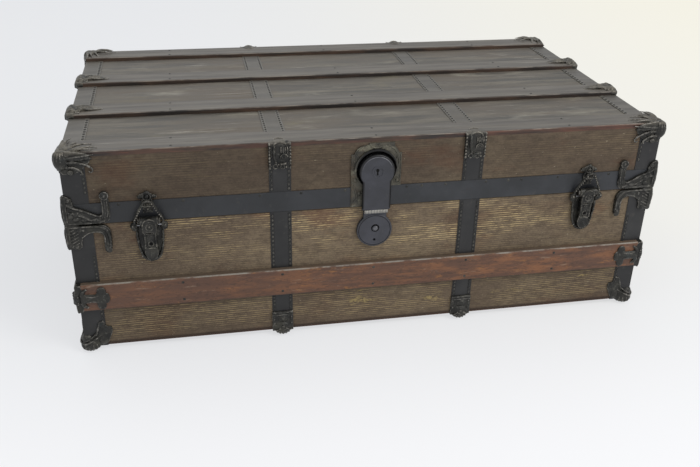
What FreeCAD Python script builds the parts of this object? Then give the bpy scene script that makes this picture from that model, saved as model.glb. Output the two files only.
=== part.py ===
import FreeCAD, Part
import os
import re

import Sketcher

# A flat-topped, canvas-covered steamer trunk with wooden slats, sheet-iron straps and cast fittings.
# Millimetres, +Z up, the lid hinged along the back. The origin is on the floor, under the middle.

Vector = FreeCAD.Vector

SIZES = {
    # the box: sizes over the canvas, and the boards under it
    "length": 912, "depth": 522, "body_rise": 212, "lid_rise": 104, "foot_drop": 9,
    "board": 12, "top_board": 10, "base_board": 10, "base_reveal": 4.5,
    "canvas": 0.8, "lining": 0.5, "seam_gap": 0.6,
    # dust lip and tray cleats inside
    "lip_thick": 3, "lip_above": 8, "lip_below": 12, "cleat": 12, "cleat_drop": 75,
    # sheet iron
    "iron": 1, "corner_leg": 33, "end_leg": 29, "strap_width": 32.5, "strap_spread": 149,
    "band_iron": 1.5, "band_height": 32.5,
    # wooden slats
    "slat_width": 46, "slat_round": 2.5, "top_slat_thick": 7.5, "top_slat_spread": 81,
    "slat_inset": 5, "side_slat_thick": 9, "side_slat_drop": 97,
    # castings
    "cast": 5, "cast_round": 3.5,
    "bumper_leg": 40, "bumper_drop": 25, "bumper_cover": 3.5,
    "ball_radius": 13, "ball_inset": 6, "ball_drop": 2,
    "foot_leg": 32, "foot_tall": 37, "foot_ball_radius": 15, "foot_ball_inset": 7,
    "foot_ball_high": 12,
    "strap_foot_proud": 8, "strap_foot_under": 22, "strap_foot_tall": 43, "strap_cast_spare": 1,
    "clamp_proud": 6, "clamp_over": 14, "clamp_tall": 35, "clamp_cover": 2.5,
    "clamp_boss_radius": 4.5, "clamp_boss_drop": 27, "clamp_boss_proud": 2.5,
    "slat_cap_cover": 3, "slat_cap_leg": 44, "slat_cap_lap": 14, "knob_radius": 8, "lid_knob_in": 2,
    "body_knob_out": 2, "body_knob_proud": 3,
    # seam clamps at the four corners
    "arm_reach": 52, "arm_deep": 12, "arm_root": 29, "panel_wide": 17, "upper_tall": 44,
    "lower_tall": 38, "lower_arm_deep": 9, "lower_root": 17,
    "curl_outer": 11.5, "curl_inner": 2.5, "curl_boss": 6.7, "curl_boss_proud": 2, "tip_drop": 47,
    # lock
    "lock_x": -4, "lock_wide": 77, "lock_plate": 2.5, "lock_leg": 58, "lock_shoulder": 86,
    "lock_top_gap": 1.5, "lock_top_left": 27, "lock_top_right": 11.5,
    "opening_radius": 31, "collar_wall": 3, "collar_proud": 6,
    "pan_wall": 1.2, "pan_depth": 9, "keeper_wide": 14, "keeper_in": 0.8, "keeper_thick": 0.9,
    "keeper_low": 23, "keeper_high": 30,
    "head_rise": 60, "head_radius": 27, "hasp_wide": 43, "hasp_front": 11.5, "head_back": 3,
    "neck_back": 6.5, "hasp_wall": 1.6, "hasp_round": 2.5, "hasp_low": 2.2,
    "notch_wide": 17, "notch_back": 8.8,
    "barrel_radius": 3.2, "barrel_out": 9.5, "barrel_drop": 6, "barrel_wide": 36,
    "hasp_knuckle": 15.6, "knuckle_gap": 0.3, "hasp_pin_radius": 1.6, "web_tall": 6.5,
    "case_radius": 20, "case_back": 3.1, "plug_radius": 4.5, "plug_proud": 0.6, "plug_back": 6.6,
    "keyhole_wide": 1.8, "keyhole_tall": 6, "keyhole_deep": 4,
    "bolt_wide": 10, "bolt_thick": 2.2, "bolt_long": 18, "bolt_back": 4, "bolt_low": 2, "bolt_slack": 0.2,
    "disc_radius": 28, "disc_drop": 41, "disc_thick": 5.5, "disc_round": 2, "neck_thick": 4.6,
    "disc_rivet": 4, "disc_rivet_proud": 1.8, "disc_hole": 2.2, "disc_hole_drop": 16,
    # latches, one each side of the lock
    "latch_inset": 113.5, "latch_base_wide": 33, "latch_base_top": 2, "latch_base_low": 66,
    "latch_base_thick": 1.5,
    "lever_out": 10.3, "lever_up": 3.5, "hub_radius": 8.3, "lever_wide": 26, "lever_pin_radius": 1.5,
    "ear_gap": 0.4, "ear_thick": 2.8, "ear_radius": 4.2, "ear_back": 2.2, "ear_stem": 1.4, "ear_low": 10.5,
    "block_low": 12, "block_back": 3, "block_front": 17, "tongue_low": 52, "tongue_thick": 6,
    "tongue_out": 9.5, "tip_radius": 12.5, "lever_hole_radius": 2.2, "lever_hole_drop": 34,
    "thumb_radius": 9, "thumb_proud": 1.5,
    "bail_out": 5.4, "bail_drop": 5, "bail_pin_radius": 1.25, "bail_gap": 0.8, "bail_leg": 4,
    "bail_thick": 3.3, "eye_radius": 4.5, "eye_wide": 8, "bail_knee": 14, "bail_top": 35.5,
    "bail_bar": 5.5, "bail_apex": 10, "bail_tilt": 10.5,
    "catch_thick": 4, "catch_wide": 14, "catch_low": 14, "catch_high": 46, "lobe_radius": 5,
    "lobe_spread": 9, "lobe_drop": 5, "nose_wide": 9, "nose_out": 9, "nose_low": 24, "nose_high": 29,
    # hinges at the back
    "hinge_inset": 156, "leaf_wide": 36, "leaf_tall": 55, "leaf_thick": 2.2,
    "hinge_out": 6.5, "hinge_knuckle_radius": 4, "hinge_pin_radius": 2, "hinge_middle": 12,
    "stop_out": 4.2, "stop_thick": 3, "stop_long": 5.5, "lid_angle": 100,
    # end handles
    "handle_long": 236, "handle_wide": 25, "handle_thick": 6, "handle_bow": 24, "handle_rise": 130,
    "handle_flat": 34, "cap_spare": 5, "cap_long": 46, "cap_wide": 36, "cap_thick": 11, "cap_round": 3,
    # running fits and nails
    "fit": 0.05, "nail_radius": 3.2, "nail_from": 47, "nail_row_inset": 8, "band_nail_drop": 4,
}

doc = FreeCAD.newDocument("steamer_trunk")
sheet = doc.addObject("Spreadsheet::Sheet", "Sizes")
for row, (alias, number) in enumerate(SIZES.items(), start=1):
    sheet.set(f"A{row}", alias)
    sheet.set(f"B{row}", str(number))
    sheet.setAlias(f"B{row}", alias)
doc.recompute()

# Places that many pieces share, as expressions in the sheet's aliases.
LEFT, RIGHT = "(-length / 2)", "(length / 2)"
FRONT, BACK = "(-depth / 2)", "(depth / 2)"
SEAM = "(foot_drop + body_rise)"
TOP = f"({SEAM} + lid_rise)"
BODY_HIGH = f"({SEAM} - seam_gap / 2)"
LID_LOW = f"({SEAM} + seam_gap / 2)"
IN_LEFT, IN_RIGHT = f"({LEFT} + canvas + board)", f"({RIGHT} - canvas - board)"
IN_FRONT, IN_BACK = f"({FRONT} + canvas + board)", f"({BACK} - canvas - board)"
IN_FLOOR = "(foot_drop + base_board)"
IN_TOP = f"({TOP} - canvas - top_board)"
SLAT_HIGH = f"({SEAM} - side_slat_drop)"
SLAT_LOW = f"({SLAT_HIGH} - slat_width)"


def bound(text):
    """The expression with every alias of the sheet written in full."""
    return re.sub(r"[a-z]\w*", lambda word: f"Sizes.{word[0]}" if word[0] in SIZES else word[0], text)


def size(text):
    """The expression's value now."""
    return float(sheet.evalExpression(bound(str(text))))


def bind(made, prop, text):
    made.setExpression(prop, bound(str(text)))


def place(made, position):
    for letter, text in zip("xyz", position):
        bind(made, f"Placement.Base.{letter}", text)


def box(name, low, high):
    """A box from its low corner to its high one."""
    made = doc.addObject("Part::Box", name)
    for prop, start, end in zip(("Length", "Width", "Height"), low, high):
        bind(made, prop, f"({end}) - ({start})")
    place(made, low)
    return made


TURNS = {
    "x": FreeCAD.Rotation(Vector(0, 1, 0), 90),
    "-y": FreeCAD.Rotation(Vector(1, 0, 0), 90),
    "z": FreeCAD.Rotation(),
}


def cylinder(name, start, along, radius, long):
    """A cylinder from the middle of one end, along x, -y or z."""
    made = doc.addObject("Part::Cylinder", name)
    made.Placement = FreeCAD.Placement(Vector(), TURNS[along])
    bind(made, "Radius", radius)
    bind(made, "Height", long)
    place(made, start)
    return made


def sphere(name, centre, radius):
    made = doc.addObject("Part::Sphere", name)
    bind(made, "Radius", radius)
    place(made, centre)
    return made


def fuse(name, *pieces):
    made = doc.addObject("Part::MultiFuse", name)
    made.Shapes = list(pieces)
    made.Refine = True
    return made


def cut(name, piece, *tools):
    """The piece less each tool; the last cut carries the name."""
    for number, tool in enumerate(tools, start=1):
        last = number == len(tools)
        made = doc.addObject("Part::Cut", name if last else f"{name}_step_{number}")
        made.Base, made.Tool = piece, tool
        piece = made
    return piece


def mirror(name, piece, normal, base=("0", "0", "0")):
    made = doc.addObject("Part::Mirroring", name)
    made.Source = piece
    made.Normal = Vector(*normal)
    for letter, text in zip("xyz", base):
        bind(made, f"Base.{letter}", text)
    return made


def group(name, *pieces):
    made = doc.addObject("Part::Compound", name)
    made.Links = list(pieces)
    return made


def left_and_right(name, piece):
    return group(name, piece, mirror(f"{name}_right", piece, (1, 0, 0)))


def front_and_back(name, piece):
    return group(name, piece, mirror(f"{name}_back", piece, (0, 1, 0)))


def four_corners(name, piece):
    return front_and_back(name, left_and_right(f"{name}_pair", piece))


def rounded(name, piece, radius, wanted=lambda edge: True):
    """A fillet on the edges that the test picks."""
    doc.recompute()
    made = doc.addObject("Part::Fillet", name)
    made.Base = piece
    reach = size(radius)
    picked = [n for n, edge in enumerate(piece.Shape.Edges, start=1) if wanted(edge)]
    made.Edges = [(number, reach, reach) for number in picked]
    return made


def lies(edge, axis, value):
    """Whether all of the edge is on the plane where that coordinate has the value."""
    spread = [getattr(vertex.Point, axis) for vertex in edge.Vertexes]
    spread.append(getattr(edge.CenterOfMass, axis))
    return all(abs(found - value) < 1e-6 for found in spread)


def runs_along(edge, axis):
    length = edge.Length
    ends = [vertex.Point for vertex in edge.Vertexes]
    return len(ends) == 2 and abs(abs(getattr(ends[1] - ends[0], axis)) - length) < 1e-6


def plate(name, origin, outline, thick):
    """A padded sketch. Its outline, in X and Z from the origin, has no negative coordinate."""
    body = doc.addObject("PartDesign::Body", name)
    sketch = body.newObject("Sketcher::SketchObject", f"{name}_outline")
    plane = next(item for item in body.Origin.OriginFeatures if item.Role == "XZ_Plane")
    sketch.AttachmentSupport = [(plane, "")]
    sketch.MapMode = "FlatFace"
    corners = [Vector(size(across), size(up), 0) for across, up in outline]
    count = len(corners)
    for number, corner in enumerate(corners):
        sketch.addGeometry(Part.LineSegment(corner, corners[(number + 1) % count]), False)
    for number in range(count):
        sketch.addConstraint(Sketcher.Constraint("Coincident", number, 2, (number + 1) % count, 1))
    for number, texts in enumerate(outline):
        for kind, text, axis in zip(("DistanceX", "DistanceY"), texts, (-2, -1)):
            if text == "0":
                sketch.addConstraint(Sketcher.Constraint("PointOnObject", number, 1, axis))
                continue
            found = Sketcher.Constraint(kind, -1, 1, number, 1, size(text))
            bind(sketch, f"Constraints[{sketch.addConstraint(found)}]", text)
    pad = body.newObject("PartDesign::Pad", f"{name}_pad")
    pad.Profile = sketch
    bind(pad, "Length", thick)
    place(body, origin)
    return body


nodes = {}


def node(name, piece):
    """Names a finished sub-part; the label is its file's name."""
    piece.Label = name
    nodes[name] = piece
    return piece


# ---------------------------------------------------------------- boards, canvas and linings

def shell(name, low, high, walls, open_top, open_bottom):
    """A box less its inside, open above or below."""
    side, floor = walls
    inner_low = [f"({low[0]}) + {side}", f"({low[1]}) + {side}"]
    inner_high = [f"({high[0]}) - {side}", f"({high[1]}) - {side}"]
    inner_low.append(f"({low[2]}) - 1" if open_bottom else f"({low[2]}) + {floor}")
    inner_high.append(f"({high[2]}) + 1" if open_top else f"({high[2]}) - {floor}")
    return cut(name, box(f"{name}_outer", low, high), box(f"{name}_inner", inner_low, inner_high))


def four_boards(prefix, low, high):
    """Front and back boards run through; the end boards fit between them."""
    left, right = f"({LEFT} + canvas)", f"({RIGHT} - canvas)"
    front, back = f"({FRONT} + canvas)", f"({BACK} - canvas)"
    return {
        "front": box(f"{prefix}_front", (left, front, low), (right, IN_FRONT, high)),
        "back": box(f"{prefix}_back", (left, IN_BACK, low), (right, back, high)),
        "left": box(f"{prefix}_left", (left, IN_FRONT, low), (IN_LEFT, IN_BACK, high)),
        "right": box(f"{prefix}_right", (IN_RIGHT, IN_FRONT, low), (right, IN_BACK, high)),
    }


LOCK_HEAD = f"({SEAM} + head_rise)"


def build_body_box():
    for side, piece in four_boards("body_board", IN_FLOOR, BODY_HIGH).items():
        node(f"body_{side}_board", piece)
    low = (f"{LEFT} + canvas", f"{FRONT} + canvas", "foot_drop")
    high = (f"{RIGHT} - canvas", f"{BACK} - canvas", IN_FLOOR)
    node("body_bottom_board", box("bottom", low, high))
    low = (LEFT, FRONT, "foot_drop + base_reveal")
    node("body_canvas", shell("body_wrap", low, (RIGHT, BACK, BODY_HIGH), ("canvas", "canvas"), True, True))
    low, high = (IN_LEFT, IN_FRONT, IN_FLOOR), (IN_RIGHT, IN_BACK, BODY_HIGH)
    node("body_lining", shell("body_paper", low, high, ("lining", "lining"), True, False))


def build_lid_box():
    boards = four_boards("lid_board", LID_LOW, IN_TOP)
    start = ("lock_x", f"{FRONT} + canvas + pan_depth", LOCK_HEAD)
    pocket = cylinder("lock_pocket", start, "-y", "opening_radius", "canvas + pan_depth + 1")
    boards["front"] = cut("lid_front_pocketed", boards["front"], pocket)
    for side, piece in boards.items():
        node(f"lid_{side}_board", piece)
    low = (f"{LEFT} + canvas", f"{FRONT} + canvas", IN_TOP)
    node("lid_top_board", box("lid_top", low, (f"{RIGHT} - canvas", f"{BACK} - canvas", f"{TOP} - canvas")))
    skin = shell("lid_wrap", (LEFT, FRONT, LID_LOW), (RIGHT, BACK, TOP), ("canvas", "canvas"), False, True)
    node("lid_canvas", cut("lid_wrap_open", skin, pocket))
    low, high = (IN_LEFT, IN_FRONT, f"{SEAM} + lip_above + lip_thick"), (IN_RIGHT, IN_BACK, IN_TOP)
    node("lid_lining", shell("lid_paper", low, high, ("lining", "lining"), False, True))


def build_inside():
    """The dust lip stands up into the lid; the cleats once carried a tray."""
    low, high = f"{SEAM} - lip_below", f"{SEAM} + lip_above"
    left, right = f"({IN_LEFT} + lining)", f"({IN_RIGHT} - lining)"
    front, back = f"({IN_FRONT} + lining)", f"({IN_BACK} - lining)"
    inner_front, inner_back = f"({front} + lip_thick)", f"({back} - lip_thick)"
    strips = [
        box("lip_front", (left, front, low), (right, inner_front, high)),
        box("lip_back", (left, inner_back, low), (right, back, high)),
        box("lip_left", (left, inner_front, low), (f"{left} + lip_thick", inner_back, high)),
        box("lip_right", (f"{right} - lip_thick", inner_front, low), (right, inner_back, high)),
    ]
    node("dust_lip", group("lip", *strips))
    cleat_top = f"{SEAM} - cleat_drop"
    cleat = box("cleat_left", (left, front, f"{cleat_top} - cleat"), (f"{left} + cleat", back, cleat_top))
    node("tray_cleats", left_and_right("cleats", cleat))


# ---------------------------------------------------------------- sheet iron

def corner_iron(name, low, high):
    outer = box(f"{name}_outer", (f"{LEFT} - iron", f"{FRONT} - iron", low),
                (f"{LEFT} + corner_leg", f"{FRONT} + corner_leg", high))
    inner = box(f"{name}_inner", (LEFT, FRONT, f"{low} - 1"),
                (f"{LEFT} + corner_leg + 1", f"{FRONT} + corner_leg + 1", f"{high} + 1"))
    return four_corners(name, cut(f"{name}_angle", outer, inner))


def build_body_irons():
    node("body_corner_irons", corner_iron("body_angle", "foot_drop", BODY_HIGH))
    low = ("-strap_spread - strap_width / 2", f"{FRONT} - iron", "foot_drop")
    high = ("-strap_spread + strap_width / 2", FRONT, BODY_HIGH)
    node("body_straps", four_corners("body_strap", box("body_strap_one", low, high)))


def build_lid_irons(opening):
    block = box("lid_block", (LEFT, FRONT, LID_LOW), (RIGHT, BACK, TOP))
    node("lid_corner_irons", corner_iron("lid_angle", LID_LOW, TOP))
    outer = box("end_iron_outer", (f"{LEFT} - iron", FRONT, f"{TOP} - end_leg"),
                (f"{LEFT} + end_leg", BACK, f"{TOP} + iron"))
    irons = left_and_right("end_iron", cut("end_iron_angle", outer, block, nodes["lid_corner_irons"]))
    node("lid_end_irons", irons)
    low = ("-strap_spread - strap_width / 2", f"{FRONT} - iron", LID_LOW)
    high = ("-strap_spread + strap_width / 2", f"{BACK} + iron", f"{TOP} + iron")
    strap = cut("lid_strap_one", box("lid_strap_outer", low, high), block)
    node("lid_straps", left_and_right("lid_strap", strap))
    low = (f"{LEFT} - band_iron", f"{FRONT} - band_iron", LID_LOW)
    high = (f"{RIGHT} + band_iron", f"{BACK} + band_iron", f"{SEAM} + band_height")
    ring = shell("band_ring", low, high, ("band_iron", "0"), True, True)
    over = [nodes[name] for name in ("lid_straps", "lid_corner_irons", "lock_plate", "latch_catches",
                                     "hinge_upper_leaves")]
    node("lid_band", cut("band", ring, *over, opening))
    return block


# ---------------------------------------------------------------- slats

def long_slat(name, low, high, showing):
    """A slat along X, its two showing edges rounded; showing is the axis and side that it faces."""
    blank = box(f"{name}_blank", low, high)
    axis, side = showing
    face = size(high["xyz".index(axis)] if side > 0 else low["xyz".index(axis)])
    return rounded(f"{name}_rounded", blank, "slat_round",
                   lambda edge: runs_along(edge, "x") and lies(edge, axis, face))


def build_body_slats():
    low = (f"{LEFT} + slat_inset", f"{FRONT} - side_slat_thick", SLAT_LOW)
    high = (f"{RIGHT} - slat_inset", FRONT, SLAT_HIGH)
    slat = cut("front_slat_cut", long_slat("front_slat_wood", low, high, ("y", -1)),
               nodes["body_straps"], nodes["body_corner_irons"])
    node("front_slat", slat)
    node("back_slat", mirror("back_slat_wood", slat, (0, 1, 0)))


def build_lid_slats():
    half = "slat_width / 2"
    rows = {
        "lid_edge_slats": (f"({FRONT} + {half})", "0"),
        "lid_middle_slats": ("(-top_slat_spread)", "slat_inset"),
    }
    for name, (middle, inset) in rows.items():
        low = (f"{LEFT} + {inset}", f"{middle} - {half}", TOP)
        high = (f"{RIGHT} - {inset}", f"{middle} + {half}", f"{TOP} + top_slat_thick")
        slat = long_slat(f"{name}_wood", low, high, ("z", 1))
        slat = cut(f"{name}_cut", slat, nodes["lid_straps"], nodes["lid_end_irons"])
        node(name, front_and_back(f"{name}_pair", slat))


# ---------------------------------------------------------------- castings

def casting(name, low, high, balls, *cores):
    """A rounded block and its balls, less what it is fitted over."""
    form = rounded(f"{name}_soft", box(f"{name}_block", low, high), "cast_round")
    if balls:
        form = fuse(f"{name}_form", form, *balls)
    return cut(f"{name}_fitted", form, *cores)


def build_lid_castings(core):
    low = (f"{LEFT} - cast", f"{FRONT} - cast", f"{TOP} - bumper_drop")
    high = (f"{LEFT} + bumper_leg", f"{FRONT} + bumper_leg", f"{TOP} + top_slat_thick + bumper_cover")
    centre = (f"{LEFT} + ball_inset", f"{FRONT} + ball_inset", f"{TOP} - ball_drop")
    ball = sphere("bumper_ball", centre, "ball_radius")
    node("lid_corner_bumpers", four_corners("bumper", casting("bumper_one", low, high, [ball], core)))

    half = "(strap_width / 2 + strap_cast_spare)"
    low = (f"-strap_spread - {half}", f"{FRONT} - clamp_proud", f"{TOP} - clamp_tall")
    high = (f"-strap_spread + {half}", f"{FRONT} + clamp_over", f"{TOP} + top_slat_thick + clamp_cover")
    boss = cylinder("clamp_boss", ("-strap_spread", FRONT, f"{TOP} - clamp_boss_drop"), "-y",
                    "clamp_boss_radius", "clamp_proud + clamp_boss_proud")
    node("lid_strap_clamps", four_corners("clamp", casting("clamp_one", low, high, [boss], core)))

    half = "(slat_width / 2 + slat_cap_cover)"
    low = (f"{LEFT} - cast", f"-top_slat_spread - {half}", f"{TOP} - slat_cap_lap")
    roof = f"{TOP} + top_slat_thick + slat_cap_cover"
    high = (f"{LEFT} + slat_cap_leg", f"-top_slat_spread + {half}", roof)
    centre = (f"{LEFT} + lid_knob_in", "-top_slat_spread", f"{TOP} + lid_knob_in")
    knob = sphere("lid_cap_knob", centre, "knob_radius")
    node("lid_slat_caps", four_corners("lid_cap", casting("lid_cap_one", low, high, [knob], core)))


def build_body_castings(core, floor):
    low = (f"{LEFT} - cast", f"{FRONT} - cast", "0")
    high = (f"{LEFT} + foot_leg", f"{FRONT} + foot_leg", "foot_tall")
    centre = (f"{LEFT} + foot_ball_inset", f"{FRONT} + foot_ball_inset", "foot_ball_high")
    ball = sphere("foot_ball", centre, "foot_ball_radius")
    node("corner_feet", four_corners("foot", casting("foot_one", low, high, [ball], core, floor)))

    half = "(strap_width / 2 + strap_cast_spare)"
    low = (f"-strap_spread - {half}", f"{FRONT} - strap_foot_proud", "0")
    high = (f"-strap_spread + {half}", f"{FRONT} + strap_foot_under", "strap_foot_tall")
    node("strap_feet", four_corners("strap_foot", casting("strap_foot_one", low, high, [], core)))

    low = (f"{LEFT} - cast", f"{FRONT} - side_slat_thick - slat_cap_cover", f"{SLAT_LOW} - slat_cap_cover")
    high = (f"{LEFT} + slat_cap_leg - slat_inset", f"{FRONT} + slat_cap_lap", f"{SLAT_HIGH} + slat_cap_cover")
    centre = (f"{LEFT} - body_knob_out", f"{FRONT} - body_knob_proud", f"({SLAT_LOW} + {SLAT_HIGH}) / 2")
    knob = sphere("body_cap_knob", centre, "knob_radius")
    node("body_slat_caps", four_corners("body_cap", casting("body_cap_one", low, high, [knob], core)))


def curl(name, centre, quarter, long, tip, tip_radius):
    """An arm's end on the front: a quarter ring, a straight stretch up or down, and a round tip."""
    across, up = centre
    sign = "" if quarter == "up" else "-"
    ring = cylinder(f"{name}_ring", (across, FRONT, up), "-y", "curl_outer", "cast")
    hollow = cylinder(f"{name}_hollow", (across, f"{FRONT} + 1", up), "-y", "curl_inner", "cast + 2")
    ring.Angle = 90
    ring.Placement = FreeCAD.Placement(
        Vector(), TURNS["-y"].multiply(FreeCAD.Rotation(Vector(0, 0, 1), -90 if quarter == "up" else 0)))
    place(ring, (across, FRONT, up))
    ends = sorted((up, f"{up} + {sign}{long}"), key=size)
    bar = box(f"{name}_bar", (f"{across} + curl_inner", f"{FRONT} - cast", ends[0]),
              (f"{across} + curl_outer", FRONT, ends[1]))
    middle = f"{across} + (curl_inner + curl_outer) / 2"
    end = cylinder(f"{name}_tip", (middle, FRONT, tip), "-y", tip_radius, "cast + curl_boss_proud")
    return [cut(f"{name}_arc", ring, hollow), bar, end]


def seam_clamp(name, front_pieces, core):
    """The front half and its twin round the corner, less what they are fitted over."""
    half = fuse(f"{name}_half", *front_pieces)
    twin = mirror(f"{name}_twin", half, (1, -1, 0), (f"{LEFT} - cast", f"{FRONT} - cast", "0"))
    return four_corners(name, cut(f"{name}_fitted", fuse(f"{name}_form", half, twin), core))


def build_seam_clamps(lid_core, body_core):
    start = f"({LEFT} - cast)"
    outline = [("0", "0"), ("arm_reach", "0"), ("arm_reach", "arm_deep"), ("panel_wide", "arm_root"),
               ("panel_wide", "upper_tall"), ("0", "upper_tall")]
    panel = plate("upper_clamp_panel", (start, FRONT, LID_LOW), outline, "cast")
    boss_height = f"{LID_LOW} + upper_tall + 1"
    pieces = curl("upper_curl", (f"({start} + arm_reach)", f"({LID_LOW} + curl_outer)"), "up",
                  "upper_tall - curl_outer", boss_height, "curl_boss")
    node("upper_seam_clamps", seam_clamp("upper_clamp", [panel, *pieces], lid_core))

    top = "lower_tall"
    outline = [("0", "0"), ("panel_wide", "0"), ("panel_wide", f"{top} - lower_root"),
               ("arm_reach", f"{top} - lower_arm_deep"), ("arm_reach", top), ("0", top)]
    panel = plate("lower_clamp_panel", (start, FRONT, f"{BODY_HIGH} - lower_tall"), outline, "cast")
    half_bar = "(curl_outer - curl_inner) / 2"
    pieces = curl("lower_curl", (f"({start} + arm_reach)", f"({BODY_HIGH} - curl_outer)"), "down",
                  f"(tip_drop - curl_outer - {half_bar})", f"{BODY_HIGH} - tip_drop + {half_bar}", half_bar)
    node("lower_seam_clamps", seam_clamp("lower_clamp", [panel, *pieces], body_core))


# ---------------------------------------------------------------- hinges

HINGE_Y = f"({BACK} + hinge_out)"


def barrel(name, middle, wide, axis, radius):
    """A cylinder along X about an axis, from the middle of its length."""
    return cylinder(name, (f"{middle} - ({wide}) / 2", *axis), "x", radius, wide)


def hinge_stop(name, middle):
    """A tab under the middle knuckle. It lies against the lower leaf when the lid is fully open."""
    tab = doc.addObject("Part::Box", name)
    for prop, text in (("Length", "hinge_middle"), ("Width", "stop_thick"), ("Height", "stop_long")):
        bind(tab, prop, text)
    tab.Placement = FreeCAD.Placement(Vector(), FreeCAD.Rotation(Vector(1, 0, 0), size("lid_angle")))
    place(tab, (f"{middle} - hinge_middle / 2",
                f"{HINGE_Y} - stop_out * cos(lid_angle) + stop_long * sin(lid_angle)",
                f"{SEAM} - stop_out * sin(lid_angle) - stop_long * cos(lid_angle)"))
    return tab


def hinge_at(name, middle):
    """The lower leaf, the upper leaf and the pin of one hinge."""
    half = "leaf_wide / 2"
    axis = (HINGE_Y, SEAM)
    side_wide = "((leaf_wide - hinge_middle) / 2 - knuckle_gap)"
    lower = [box(f"{name}_low_leaf", (f"{middle} - {half}", BACK, f"{SEAM} - leaf_tall"),
                 (f"{middle} + {half}", f"{BACK} + leaf_thick", BODY_HIGH))]
    for side, sign in (("left", "-"), ("right", "+")):
        spot = f"({middle} {sign} ({half} - {side_wide} / 2))"
        lower.append(barrel(f"{name}_{side}_knuckle", spot, side_wide, axis, "hinge_knuckle_radius"))
        lower.append(box(f"{name}_{side}_web",
                         (f"{spot} - {side_wide} / 2", BACK, f"{SEAM} - hinge_knuckle_radius"),
                         (f"{spot} + {side_wide} / 2", HINGE_Y, f"{SEAM} - hinge_pin_radius")))
    pin = barrel(f"{name}_pin", middle, "leaf_wide", axis, "hinge_pin_radius")
    tight = barrel(f"{name}_tight", middle, "leaf_wide + 2", axis, "hinge_pin_radius")
    loose = barrel(f"{name}_loose", middle, "leaf_wide + 2", axis, "hinge_pin_radius + fit")

    upper = [
        box(f"{name}_up_leaf", (f"{middle} - {half}", BACK, LID_LOW),
            (f"{middle} + {half}", f"{BACK} + leaf_thick", f"{SEAM} + leaf_tall")),
        barrel(f"{name}_mid_knuckle", middle, "hinge_middle", axis, "hinge_knuckle_radius"),
        box(f"{name}_mid_web", (f"{middle} - hinge_middle / 2", BACK, f"{SEAM} + hinge_pin_radius"),
            (f"{middle} + hinge_middle / 2", HINGE_Y, f"{SEAM} + hinge_knuckle_radius")),
        hinge_stop(f"{name}_stop", middle),
    ]
    return (cut(f"{name}_lower", fuse(f"{name}_lower_form", *lower), tight),
            cut(f"{name}_upper", fuse(f"{name}_upper_form", *upper), loose), pin)


def build_hinges():
    middles = {"hinge_a": f"({LEFT} + hinge_inset)", "hinge_b": "0", "hinge_c": f"({RIGHT} - hinge_inset)"}
    lower, upper, pins = zip(*(hinge_at(name, middle) for name, middle in middles.items()))
    node("hinge_lower_leaves", group("lower_leaves", *lower))
    node("hinge_upper_leaves", group("upper_leaves", *upper))
    node("hinge_pins", group("hinge_pin_set", *pins))


# ---------------------------------------------------------------- lock

def out(reach):
    """Y of a place that far in front of the trunk's front."""
    return f"({FRONT} - ({reach}))"


HASP_AXIS = (out("barrel_out"), f"({SEAM} - barrel_drop)")


def disc(name, height, radius, back, front):
    """A cylinder along Y on the lock's middle line, between two distances from the front."""
    return cylinder(name, ("lock_x", out(back), height), "-y", radius, f"({front}) - ({back})")


def lock_box(name, half_wide, reach, heights):
    """A box on the lock's middle line, from its reach and its heights."""
    (back, front), (low, high) = reach, heights
    return box(name, (f"lock_x - {half_wide}", out(front), low), (f"lock_x + {half_wide}", out(back), high))


def on_front(reach):
    """A test for the edges that lie at that distance from the front."""
    value = size(out(reach))
    return lambda edge: lies(edge, "y", value)


def build_lock_plate():
    origin = ("lock_x - lock_wide / 2", FRONT, LID_LOW)
    band, shoulder = "(band_height - seam_gap / 2)", "(lock_shoulder - seam_gap / 2)"
    high = "(lid_rise - seam_gap / 2 - lock_top_gap)"
    right = "(lock_wide - lock_top_right)"
    outline = [("0", "0"), ("lock_leg", "0"), ("lock_leg", band), ("lock_wide", band),
               ("lock_wide", shoulder), (right, shoulder), (right, high),
               ("lock_top_left", high), ("lock_top_left", shoulder), ("0", shoulder)]
    blank = plate("lock_blank", origin, outline, "lock_plate")
    collar = cylinder("lock_collar", ("lock_x", FRONT, LOCK_HEAD), "-y",
                      "opening_radius + collar_wall", "collar_proud")
    collar.Angle = 180
    opening = disc("lock_opening", LOCK_HEAD, "opening_radius", "-pan_depth", "collar_proud + 1")
    node("lock_plate", cut("lock_plate_open", fuse("lock_plate_form", blank, collar), opening))
    return opening


def build_lock_pan():
    cup = disc("pan_outer", LOCK_HEAD, "opening_radius", "-(canvas + pan_depth)", "lock_plate")
    inside = disc("pan_inner", LOCK_HEAD, "opening_radius - pan_wall",
                  "-(canvas + pan_depth - pan_wall)", "lock_plate + 1")
    lip = lock_box("keeper", "keeper_wide / 2", ("keeper_in", "keeper_in + keeper_thick"),
                   (f"{LOCK_HEAD} + keeper_low", f"{LOCK_HEAD} + keeper_high"))
    node("lock_pan", fuse("pan", cut("pan_cup", cup, inside), lip))


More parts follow.
